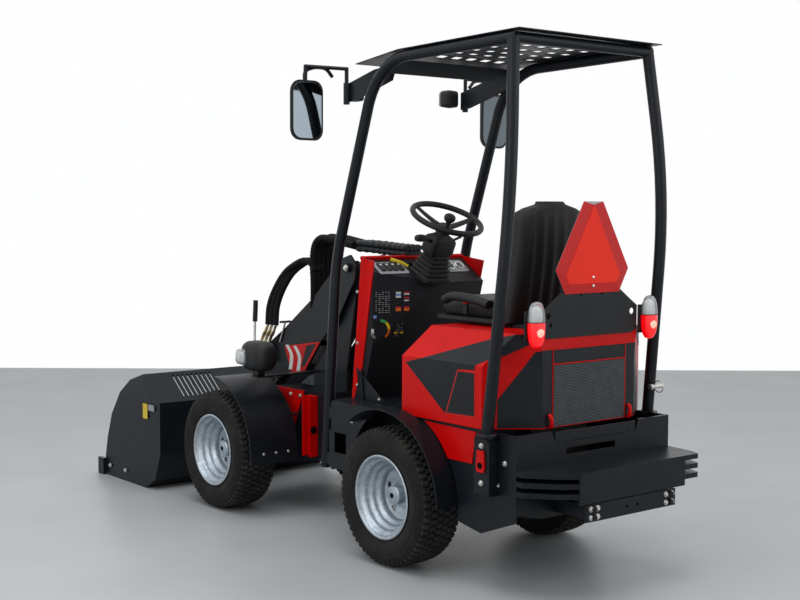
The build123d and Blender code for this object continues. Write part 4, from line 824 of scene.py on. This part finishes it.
def stack_on_wheel(profile, forward=0, left=0):
    """Circles of the profile's radii at its heights above the wheel's plane."""
    angle = turns(36)
    c, s = np.cos(angle), np.sin(angle)
    return loft(np.stack([on_wheel(forward + r * c, left + r * s, h) for r, h in profile]))


a, b = turns(72)[:, None], turns(16)[None]
reach = RIM_R + RIM_THICK * np.cos(b)
rim = on_wheel(reach * np.cos(a), reach * np.sin(a), RIM_THICK * np.sin(b))
spokes = []
for turn in np.radians((30, 150, -90)):
    s = np.linspace(20, 150, 12)
    path = on_wheel(s * math.cos(turn), s * math.sin(turn), -42 + 40 * ((s - 20) / 130) ** 1.3)
    spokes.append(tube(path, np.linspace(21, 14, 12), 14, up=AXIS, flat=0.38))
piece("steering_rim", merge(grid(rim, True, True), *spokes, stack_on_wheel(HUB_PROFILE)), "moulded plastic",
      "steering", ("steering_wheel",))
clamp = tube(on_wheel(np.linspace(-104, -124, 6), np.linspace(84, 101, 6), 0), 9, 12, up=AXIS)
piece("steering_knob", merge(stack_on_wheel(KNOB_PROFILE, -108, 88), clamp), "moulded plastic", "steering")

# %% [markdown]
# The column stands in a pleated rubber boot with a nearly square section. Its pleats are a
# sawtooth in the size of the section as it climbs the column, the same idea as a bellows in a
# camera, so a single grid of rings makes the whole boot.

# %% Bellows, switch housing and stalks
PLEATS, BOOT_HALF, BOOT_TAPER, BOOT_HIGH, PLEAT_DEPTH = 6, 74, 28, 118, 13
SLOPE_AT, SLOPE_RISE = (440, 1250), 0.66
# height on the column, half size ahead, half size across
HOUSING = ((112, 30, 44), (118, 42, 60), (134, 45, 66), (184, 45, 66), (197, 40, 58), (206, 28, 40),
           (212, 24, 26), (258, 24, 26))
ahead_of, left_of = squarish(turns(40), 8)


def slope(x):
    """Height of the console's top at x: a straight line, 0.66 mm up for each mm forward."""
    return SLOPE_AT[1] + SLOPE_RISE * (x - SLOPE_AT[0])


def on_axis(height, ahead=0, left=0):
    """A place on the column's axis, with a step ahead in the wheel's plane and one to the left."""
    return COLUMN_FOOT + AXIS * height + ahead * FLAT + np.array((0, left, 0))


def on_column(height, half_ahead, half_left):
    """A nearly square ring round the column: its centre climbs the axis, its half sizes are given."""
    return on_axis(height) + np.outer(half_ahead * ahead_of, FLAT) + np.outer(half_left * left_of, ACROSS)


rings = [on_column(height, BOOT_HALF, BOOT_HALF) for height in (-46, 0)]
for pleat in range(PLEATS):
    half = BOOT_HALF - BOOT_TAPER * pleat / PLEATS
    for share, inward in ((0.30, 0), (0.46, 0), (0.95, PLEAT_DEPTH)):
        rings.append(on_column(6 + BOOT_HIGH * (pleat + share) / PLEATS, half - inward, half - inward))
rings = np.stack(rings)
rings[..., 2] = np.maximum(rings[..., 2], slope(rings[..., 0]) + 0.6)
piece("column_boot", loft(rings), "rubber", "rear_frame", ("steering_column",), smooth=25)
housing = loft(np.stack([on_column(*ring) for ring in HOUSING]))
piece("column_housing", housing, "moulded plastic", "rear_frame", smooth=30)
stalk_from, stalk_to = on_axis(178, -10, 50), on_axis(206, -25, 142)
stalk = curve([stalk_from, (stalk_from + stalk_to) / 2 + (0, 0, 4), stalk_to], 14)
pod = capsule(stalk_to, (34, 58, 34), rows=14)
right_lever = tube(curve([on_axis(170, 0, -50), on_axis(190, 0, -120) + (0, 0, 6)], 8), 6, 10)
piece("column_switches", merge(tube(stalk, 9, 12), pod, right_lever), "moulded plastic", "rear_frame")
print("wheel, boot and switches done")

# %% [markdown]
# The console's top is a sloped panel between red rims, with rocker switches on the left and
# round instruments on the right. A plane through the slope gives each item its height, so
# only its place on the panel has to be named.

# %% Console top
SLOPE_MID = 388.0
DIAL_ROWS = ((-116, 22, 0), (-172, 26, 2), (-230, 22, 0))  # y, radius, step forward


def above_slope(x, y, level):
    """Points that far above the sloped top, measured square to it: a step back and a step up."""
    return np.stack([x - level * 0.55, y, slope(x) + level * 0.83], -1)


def on_top(x, y, half_x, half_y, low, high, radius):
    """A rounded block on the sloped top: its outline follows the slope, its two levels lie along it."""
    u, v = rounded((x - half_x, y - half_y), (x + half_x, y + half_y), radius, 4).T
    return loft(np.stack([above_slope(u, v, level) for level in (low, high)]))


def dial(x, y, profile):
    """Circles of the profile's radii at its levels above the sloped top."""
    angle = turns(40)
    c, s = np.cos(angle), np.sin(angle)
    return loft(np.stack([above_slope(x + r * c, y + r * s, level) for r, level in profile]))


panels = [on_top(SLOPE_MID, y, 37, half, 1.0, 3.0, 8) for y, half in ((178, 84), (-178, 90))]
rocker_y = [126 + 34 * k for k in range(4)]
rockers = [on_top(SLOPE_MID + 4, y, 24, 13, 3.0, 9.0, 3) for y in rocker_y]
marks = [on_top(SLOPE_MID + 14, y, 4, 6, 9.0, 9.6, 1.5) for y in rocker_y]
bezels = [dial(SLOPE_MID + ahead, y, ((r, 3), (r + 1, 7), (r - 2, 9), (r - 5, 7.2))) for y, r, ahead in DIAL_ROWS]
dial_faces = [dial(SLOPE_MID + ahead, y, ((r - 5.5, 6.4), (r - 5.5, 7.6))) for y, r, ahead in DIAL_ROWS]
piece("console_panels", merge(*panels), "plate grey", "rear_frame", slot="zinc", bevel=0.8)
piece("console_rockers", merge(*rockers), "moulded plastic", "rear_frame", bevel=1.5)
piece("console_marks", merge(*marks), "plate white", "rear_frame")
piece("console_dials", merge(*bezels), "bright zinc", "rear_frame")
piece("console_dial_faces", merge(*dial_faces), "dial face", "rear_frame")
grip_line = [(x, y, slope(x) + rise) for x, y, rise in ((424, 150, 14), (398, 112, 18), (378, 84, 14))]
hand_grip = tube(curve(grip_line, 16), np.linspace(9, 6, 16), 12, up=ACROSS)
piece("console_hand_grip", hand_grip, "plate yellow", "rear_frame")
piece("tub_top_edge", tube([(447, -297.6, 1262), (447, 297.6, 1262)], 9, 12), "red paint", "rear_frame")
screws = [bolt((470, 300.5, z), "y", 6) for z in (1110, 880, 690)]
piece("tub_screws", merge(*screws), "bright zinc", "rear_frame", smooth=25)
print("console: 4 rockers, 3 dials")

# %% [markdown]
# Small plates with signs cover the console's rear skin. Their print can't be read in the
# photograph, so it is only hinted at by rows of dashes. A picture of the signs could be stuck
# on, but then they would have no edge, so each one is a thin plate on the bent skin.

# %% Signs on the console
DIAL_AT = (258, 944)
FIELDS = {
    "white": [(184, 160, 1086, 1094), (184, 160, 1104, 1112), (144, 120, 1098, 1104), (144, 122, 1070, 1076),
              (300, 288, 930, 950)],
    "blue": [(184, 160, 1095, 1103), (290, 276, 996, 1010)],
    "pink": [(144, 120, 1105, 1111), (144, 120, 1082, 1088), (184, 160, 1040, 1046), (144, 120, 1040, 1046)],
    "orange": [(184, 160, 1026, 1039), (144, 120, 1026, 1039)],
    "yellow": [(184, 166, 922, 932), (150, 132, 922, 932)],
}
ARCS = {"green": (48, 88), "yellow": (6, 48), "orange": (-50, 6), "grey": (196, 236)}  # degrees


def panel_x(y, z):
    """Where the console's rear skin lies: the further of an upright slanted plane and a leaning one."""
    return max(369 - (294.7 - y) * 144 / 589.4, 290 + (1147 - z) * 0.289)


def patch(corners):
    """A plate one millimetre thick on the console's rear skin: corners as (y, z)."""
    face = np.array([(panel_x(y, z) - 0.6, y, z) for y, z in corners])
    return loft(np.stack([face, face - (1.0, 0, 0)]))


dashes = []
for row in range(11):
    for column, (y, wide) in enumerate(((280, 6), (266, 10), (250, 8), (236, 11), (220, 7))):
        if (row * 3 + column * 5) % 7:
            dashes.append(patch(square((y, 1020 + 9 * row), (y - wide, 1023.5 + 9 * row))))
for row in range(7):
    for y in (176, 164, 150):
        if (row + y) % 5:
            dashes.append(patch(square((y, 912 + 9 * row), (y - 7, 915 + 9 * row))))
piece("console_marks_small", merge(*dashes), "plate grey", "rear_frame")
for colour, places in FIELDS.items():
    fields = [patch(square((left, low), (right, high))) for left, right, low, high in places]
    piece(f"console_{colour}_fields", merge(*fields), f"plate {colour}", "rear_frame")
for colour, (start, end) in ARCS.items():
    turn = np.radians(np.linspace(start, end, 10))
    outline = []
    for radius, way in ((36, turn), (48, turn[::-1])):
        outline += zip(DIAL_AT[0] - radius * np.cos(way), DIAL_AT[1] + radius * np.sin(way))
    piece(f"console_arc_{colour}", patch(outline), f"plate {colour}", "rear_frame")
print(len(dashes), "dashes and", len(ARCS), "arcs on the console")

# %% [markdown]
# ## Mirrors and work lamps
# The mirrors are moulded shells, round at the back and flat at the glass. One grid does it:
# the shell's rows are rounded rectangles that shrink towards the back, as a quarter circle.
# The work lamps are fuller capsules with a flat lens.

# %% Mirrors
MIRROR_Y, MIRROR_Z = 552.0, 1906.0


def dish(centre, half_y, half_z, depth, rows=9):
    """Rounded rectangles along x: size = root of the cosine, depth = sine of the same quarter turn."""
    outline = rounded((-half_y, -half_z), (half_y, half_z), min(half_y, half_z) * 0.55, 7)
    rings = []
    for angle in np.linspace(0, np.pi / 2 * 0.93, rows):
        scale = math.cos(angle) ** 0.5
        x = np.full(len(outline), centre[0] + depth * math.sin(angle))
        rings.append(np.stack([x, centre[1] + outline[:, 0] * scale, centre[2] + outline[:, 1] * scale], -1))
    return loft(np.stack(rings))


mirror_shell = dish((500, MIRROR_Y, MIRROR_Z), 84, 130, 38)
pair("mirror_shells", mirror_shell, "moulded plastic", "rear_frame", ("mirrors",), smooth=50)
glass = slab(rounded((MIRROR_Y - 74, MIRROR_Z - 120), (MIRROR_Y + 74, MIRROR_Z + 120), 42, 7), "yz", 497.5, 499.6)
pair("mirror_glasses", glass, "mirror glass", "rear_frame")
arm = curve([(520, 404, 2060), (520, 440, 2092), (521, 500, 2094), (522, 546, 2074), (522, 552, 2030)], 30)
pair("mirror_arms", tube(arm, 8, 12, up=(1, 0, 0)), "moulded plastic", "rear_frame", slot="paint_dark")

# %% Work lamps
lamp_box = capsule((522, 280, 2000), (62, 88, 84), rows=18, power=5.0)
pair("work_lamp_bodies", lamp_box, "moulded plastic", "rear_frame", ("work_lamps",), smooth=50)
lens = slab(rounded((242, 1964), (318, 2036), 12), "yz", 552.0, 555.0)
pair("work_lamp_lenses", lens, "white lens", "rear_frame", bevel=1)
print("mirrors and lamps hang from the roof")

# %% [markdown]
# ## Headlamps
# Each front lamp is a smooth round-backed shell with a clear side lens. A stretched half
# sphere would be too plain, so the rings follow a fuller curve with a flat front.

# %% Headlamps
shell = capsule((1094, 425, 774), (204, 124, 150), rows=26, power=2.9, sides=48)
pair("headlamp_shells", shell, "moulded plastic", "front_frame", ("headlamps",), smooth=60)
side_lens = capsule((1156, 473, 768), (88, 58, 82), rows=16, power=3.2)
pair("headlamp_side_lenses", side_lens, "clear lens", "front_frame")
reflector = capsule((1158, 473, 768), (66, 46, 56), rows=12, power=3.0)
pair("headlamp_reflectors", reflector, "white lens", "front_frame")
front_lens = lathe([(POLE, 6), (30, 4), (42, 0), (46, -6), (POLE, -6)], (1190, 420, 772), 40, axis="x")
pair("headlamp_front_lenses", front_lens, "white lens", "front_frame")
pair("headlamp_feet", box((1070, 405, 680), (1120, 445, 704)), "moulded plastic", "front_frame", bevel=3)
print("headlamps shaped")

# %% [markdown]
# ## Hoses
# A flat bundle of hoses in a woven sleeve leaves the console, passes the arm's pin in a loop
# and runs down to the couplings. The real bundle bends with the machine; here it is cut into two
# pieces where the joints are, and neither piece is carried by a body.

# %% Hose bundles
# where each hose lies beside the bundle's own line: across, up
ROWS_OF_EIGHT = [(y, z) for y in (-36, -12, 12, 36) for z in (-14, 12)]
FIVE = [(-52, 2), (-27, -7), (0, 5), (27, -6), (52, 2)]
TO_PIVOT = [(440, 0, 1290), (520, 0, 1292), (600, 4, 1296), (690, 10, 1302), (796, 20, 1306)]
OVER_ARM = [
    (804, 22, 1306), (880, 30, 1318), (960, 44, 1332), (1030, 52, 1334), (1078, 54, 1298), (1094, 54, 1220),
    (1092, 52, 1140), (1096, 48, 1060), (1112, 40, 990),
]
BRANCH = [
    (1078, 84, 1176), (1104, 90, 1212), (1156, 95, 1224), (1228, 100, 1200), (1312, 106, 1152), (1384, 114, 1070),
    (1424, 124, 980), (1424, 133, 884),
]


def bundle(route, offsets, radius, steps, bands=0):
    """Tubes side by side: the same soft line shifted by each offset, with thicker bands now and then."""
    line = curve(route, steps)
    wave = radius * (1 + 0.07 * np.sin(np.arange(steps) * 2.2))
    spans = [(line, wave)]
    for k in range(bands):
        at = int((k + 0.5) * steps / bands)
        spans.append((line[max(at - 1, 0):at + 2], radius * 1.18))
    return merge(*[tube(span + (0, dy, dz), thick, 12, up=ACROSS) for span, thick in spans for dy, dz in offsets])


roll = bundle(TO_PIVOT, ROWS_OF_EIGHT, 13.5, 60, 9)
hose_a = piece("hoses_to_pivot", roll, "hose wrap", None, ("pivot_hoses",))
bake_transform(hose_a)
line = curve(BRANCH, 70)
turn = np.clip(np.linspace(-0.35, 1.35, 70), 0, 1)[:, None]
turn = turn * turn * (3 - 2 * turn)
arms = [tube(line + (1 - turn) * (0, 24 * k, 0) + turn * (36 * k, 0, 0), 15, 12, up=ACROSS) for k in (-1, 0, 1)]
over = merge(bundle(OVER_ARM, FIVE, 17, 110), *arms)
hose_b = piece("hoses_over_arm", over, "hose sleeve", None, ("arm_hoses",))
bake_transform(hose_b)
print("hoses:", len(ROWS_OF_EIGHT), "to the pivot,", len(FIVE), "over the arm,", len(arms), "to the couplings")

# %% [markdown]
# ## Couplings, levers and stripes on the arm
# The hose ends meet brass couplings in a block on the arm. They are turned parts, so each is a
# lathe profile on its own axis, tilted backwards by shearing its points. The stripes are foil,
# as on the hood, and are laid on the arm's cheeks as thin plates.

# %% Couplings and levers
BLOCK_X = 1452.0
COUPLING = [(POLE, 0), (12, 0), (13, 6), (13, 22), (9, 28), (9, 60), (11.5, 64), (11.5, 84), (8.5, 92), (8.5, 116),
            (POLE, 118)]
couplings = []
for k in range(3):
    points, faces = lathe(COUPLING, (0, 0, 0), 24, axis="z")
    couplings.append((points + np.outer(points[:, 2], (-0.72, 0, 0)) + (BLOCK_X + 20 + 36 * k, 133, 766), faces))
piece("arm_couplings", merge(*couplings), "brass", "loader_arm")
block = box((BLOCK_X, 107.8, 690), (BLOCK_X + 148, 159, 770))
piece("arm_block", block, "moulded plastic", "loader_arm", ("coupler_block",), bevel=3)
shaft = tube(curve([(1588, 133, 764), (1587, 133, 830), (1584, 133, 900)], 12), 6.5, 12, up=ACROSS)
grip = tube(curve([(1584, 133, 892), (1581, 132, 950), (1578, 132, 1002)], 12), 13, 16, up=ACROSS)
handle = tube(curve([(1310, 92, 908), (1350, 134, 904)], 6), 6, 12)
post = tube(curve([(1380, 112, 800), (1350, 113, 860), (1330, 114, 905)], 8), 5, 10, up=ACROSS)
piece("arm_lever_shafts", merge(shaft, post), "bright zinc", "loader_arm")
piece("arm_lever_grips", merge(grip, handle), "hose wrap", "loader_arm", slot="black_plastic")
print(len(couplings), "couplings and two levers on the arm")

# %% Stripes on the arm
CHEEK_Y = 107.2
FOIL = 0.6
field = slab([(1345, 782), (1033, 827), (1171, 665), (1285, 655)], "xz", CHEEK_Y, CHEEK_Y + FOIL)
pair("arm_red_field", field, "red paint", "loader_arm")
dark = slab([(1150, 800), (1062, 816), (1170, 690), (1196, 690)], "xz", CHEEK_Y + FOIL, CHEEK_Y + 1.0)
pair("arm_dark_field", dark, "anthracite paint", "loader_arm")
bows = []
for x in (1210, 1280):
    outer = curve([(x + 30, 790), (x - 12, 740), (x - 4, 668)], 14)
    inner = curve([(x + 28, 664), (x + 16, 736), (x + 56, 788)], 14)
    bows.append(slab(np.concatenate([outer, inner]), "xz", CHEEK_Y + FOIL, CHEEK_Y + 2 * FOIL))
pair("arm_white_bows", merge(*bows), "plate white", "loader_arm", slot="paint_dark")
print("stripes laid on both cheeks")

# %% [markdown]
# ## Bolts
# A machine like this is held by dozens of zinc bolts, and they are what the eye reads as real.
# The bolt function above makes a washer and a six-sided head for any place and direction, and
# a short table says where they sit.

# %% Bolts
# name, body, axis, direction, size, then the places
BOLTS = [
    ("hitch", "rear_frame", "x", -1, 9, [(-893, y, z) for y in (-232, -196, 196, 232) for z in (330, 362)]),
    ("weights", "rear_frame", "x", -1, 8, [(-703, y, 462) for y in (-150, 150)]),
    ("frame_side", "rear_frame", "y", 1, 9,
     [(-560, 436.5, 590), (-600, 436.5, 430), (-640, 436.5, 520), (330, 436.5, 560)]),
    ("post_foot", "rear_frame", "y", 1, 9, [(-565, 488.6, 584), (-565, 488.6, 440)]),
    ("tower", "front_frame", "y", 1, 12, [(800, 121.5, 1200)]),
    ("gusset", "front_frame", "y", 1, 8, [(1040, 221, 570), (1120, 221, 570)]),
    ("bucket", "tool_carrier", "y", 1, 9, [(2200, 571.5, 60), (2380, 571.5, 60)]),
    ("arm_eye", "loader_arm", "y", 1, 11, [(1740, 107.5, 235)]),
]
for name, body, axis, sign, size, places in BOLTS:
    heads = [bolt(at, axis, size, sign) for at in places]
    if axis == "y":
        heads += [mirrored(head) for head in heads]
    piece(f"bolts_{name}", merge(*heads), "bright zinc", body, smooth=25)
print("bolts placed in", len(BOLTS), "groups")

# %% [markdown]
# The last small parts are flat plates, collars and a pin. They could be cut into the solids,
# but none of them carries a load in the model, so a few slabs and lathe profiles on the faces
# they belong to are enough.

# %% Tow eyes, post collars, ring pin and plates
POST_FACE, EYE_FACE, BUCKET_SIDE = 488.4, 497.0, 571.2
RING_R, RING_WIRE, RING_AT = 24, 2.2, (-640, -446, 742)
EYE = [(-584, 566), (-546, 566), (-541, 500), (-547, 482), (-583, 482), (-589, 500)]
pair("tow_eyes", slab(EYE, "xz", POST_FACE, EYE_FACE), "red paint", "rear_frame", bevel=1.5)
# painted shade: a dark plate on each eye stands for the shade in its hole
eye_hole = slab(rounded((-579, 496), (-551, 520), 11), "xz", EYE_FACE, EYE_FACE + 0.6)
pair("tow_eye_hole_shades", eye_hole, "painted hole shade", "rear_frame")
COLLAR = [(26, 0), (40, 0), (42, 3), (42, 15), (40, 18), (26, 18)]
collar = lathe(COLLAR, (-567, 462, 612), 40, closed=True, axis="z")
pair("post_collars", collar, "anthracite paint", "rear_frame")
a, b = turns(40)[:, None], turns(10)[None]
reach = RING_R + RING_WIRE * np.cos(b)
ring = np.stack([reach * np.cos(a), RING_WIRE * np.sin(b) + 0 * a, reach * np.sin(a)], -1) + np.array(RING_AT)
pin = lathe([(POLE, -46), (9, -44), (9, 20), (12, 22), (12, 34), (POLE, 36)], (-628, -436, 742), 24)
piece("post_ring_pin", merge(grid(ring, True, True), pin), "bright zinc", "rear_frame")
for colour, low, high in (("yellow", (1946, 372), (1996, 452)), ("grey", (1872, 420), (1936, 452))):
    plate = slab(rounded(low, high, 4), "xz", BUCKET_SIDE, BUCKET_SIDE + 0.8)
    piece(f"bucket_{colour}_plate", plate, f"plate {colour}", "tool_carrier", slot="paint_dark")
cover = slab(rounded((-599, 396), (-531, 599), 3), "xz", 484, POST_FACE)
pair("post_covers", cover, "anthracite paint", "rear_frame", bevel=1)
piece("notch_plate", box((-701, -229.5, 586), (-692, 229.5, 628)), "anthracite paint", "rear_frame", bevel=1)
brace = slab([(474, 772), (278, 640), (286, 629), (452, 629)], "xz", 300.4, 304)
pair("deck_braces", brace, "anthracite paint", "rear_frame", bevel=0.8)
pair("deck_brace_bolts", bolt((306, 304, 643), "y", 5), "bright zinc", "rear_frame", smooth=25)
# painted shade: dark discs stand for the shade inside the channel's holes
pair("channel_hole_shades", disc(18, -1.0, 0.4, (902.4, 238, 420), 28, "x"), "painted hole shade", "front_frame")
fender_bolts = [bolt((WHEELBASE - 371.6, y, 318), "x", 5.5, -1) for y in (330, 400, 470)]
pair("bolts_front_fender", merge(*fender_bolts), "bright zinc", "front_frame", smooth=25)
print("plates, collars and the pin are on")

# %% [markdown]
# ## Camera, light, floor and background
# The photograph was taken from behind and to the left, a little above seat height. The camera
# below has that place and a lens that gives the same perspective. The room is a plain pale
# floor and a white background. Its white is at full strength for the camera, reflections and glass,
# and at 0.4 for other rays, so it does not flood the machine with light.

# %% Camera
YAW, PITCH, ROLL = np.radians((-38.796, 3.994, 0.2146))
camera_data = bpy.data.cameras.new("camera")
camera_data.lens = 59.14
camera_data.sensor_width = 36.0
camera = bpy.data.objects.new("camera", camera_data)
bpy.context.scene.collection.objects.link(camera)
forward = np.array((math.cos(YAW) * math.cos(PITCH), math.sin(YAW) * math.cos(PITCH), -math.sin(PITCH)))
level = np.array((math.sin(YAW), -math.cos(YAW), 0.0))
upward = np.cross(level, forward)
right = math.cos(ROLL) * level + math.sin(ROLL) * upward
upward = -math.sin(ROLL) * level + math.cos(ROLL) * upward
turned = Matrix([[*row] for row in np.stack([right, upward, -forward], 1)])
camera.matrix_world = Matrix.Translation((-5.0275, 3.831, 1.484)) @ turned.to_4x4()
bpy.context.scene.camera = camera

# %% Floor and background
FLOOR_HALF = 5.75
floor_mesh = bpy.data.meshes.new("floor")
ahead, across = np.meshgrid(*[np.linspace(-FLOOR_HALF, FLOOR_HALF, 24)] * 2, indexing="ij")
c, s = math.cos(YAW), math.sin(YAW)
floor_points, floor_faces = grid(np.stack([ahead * c - across * s, ahead * s + across * c, 0 * ahead], -1))
floor_mesh.from_pydata(floor_points.tolist(), [], floor_faces)
floor = bpy.data.objects.new("floor", floor_mesh)
bpy.context.scene.collection.objects.link(floor)
floor_mesh.materials.append(
    finish("pale floor", (176, 180, 183), 0.42, mottle=0.05, scale=1.4, grain=0.0, edge=0.0001, spread=0.06))

world = bpy.data.worlds.new("studio")
bpy.context.scene.world = world
world.use_nodes = True
tree = world.node_tree


def larger(first, second):
    """The larger of two node outputs."""
    node = tree.nodes.new("ShaderNodeMath")
    node.operation = "MAXIMUM"
    tree.links.new(first, node.inputs[0])
    tree.links.new(second, node.inputs[1])
    return node.outputs[0]


ray = add_node(tree, "LightPath").outputs
seen = larger(larger(ray["Is Camera Ray"], ray["Is Transmission Ray"]), ray["Is Glossy Ray"])
strength = add_node(tree, "MapRange", To_Min=0.40, To_Max=1.0, Value=seen)
plug(tree, tree.nodes["Background"], Color=(0.99, 0.995, 1.0, 1), Strength=strength.outputs["Result"])


def soft_light(name, at, towards, size, power):
    """A square lamp at a place, turned to face a point, so its shadow edge is as soft as it is wide."""
    data = bpy.data.lights.new(name, "AREA")
    data.size = size
    data.energy = power
    lamp = bpy.data.objects.new(name, data)
    bpy.context.scene.collection.objects.link(lamp)
    lamp.location = at
    lamp.rotation_euler = (Vector(towards) - Vector(at)).to_track_quat("-Z", "Y").to_euler()


soft_light("ceiling panel", (-0.6, 0.8, 4.6), (0.0, 0.0, 0.6), 4.0, 120)
soft_light("left panel", (-1.2, 4.6, 2.6), (0.0, 0.0, 0.9), 3.0, 55)
soft_light("rear panel", (-5.0, -1.6, 2.6), (0.0, 0.0, 0.9), 3.0, 45)
bpy.context.scene.view_settings.view_transform = "Standard"
print("camera, three soft panels, floor and background ready")
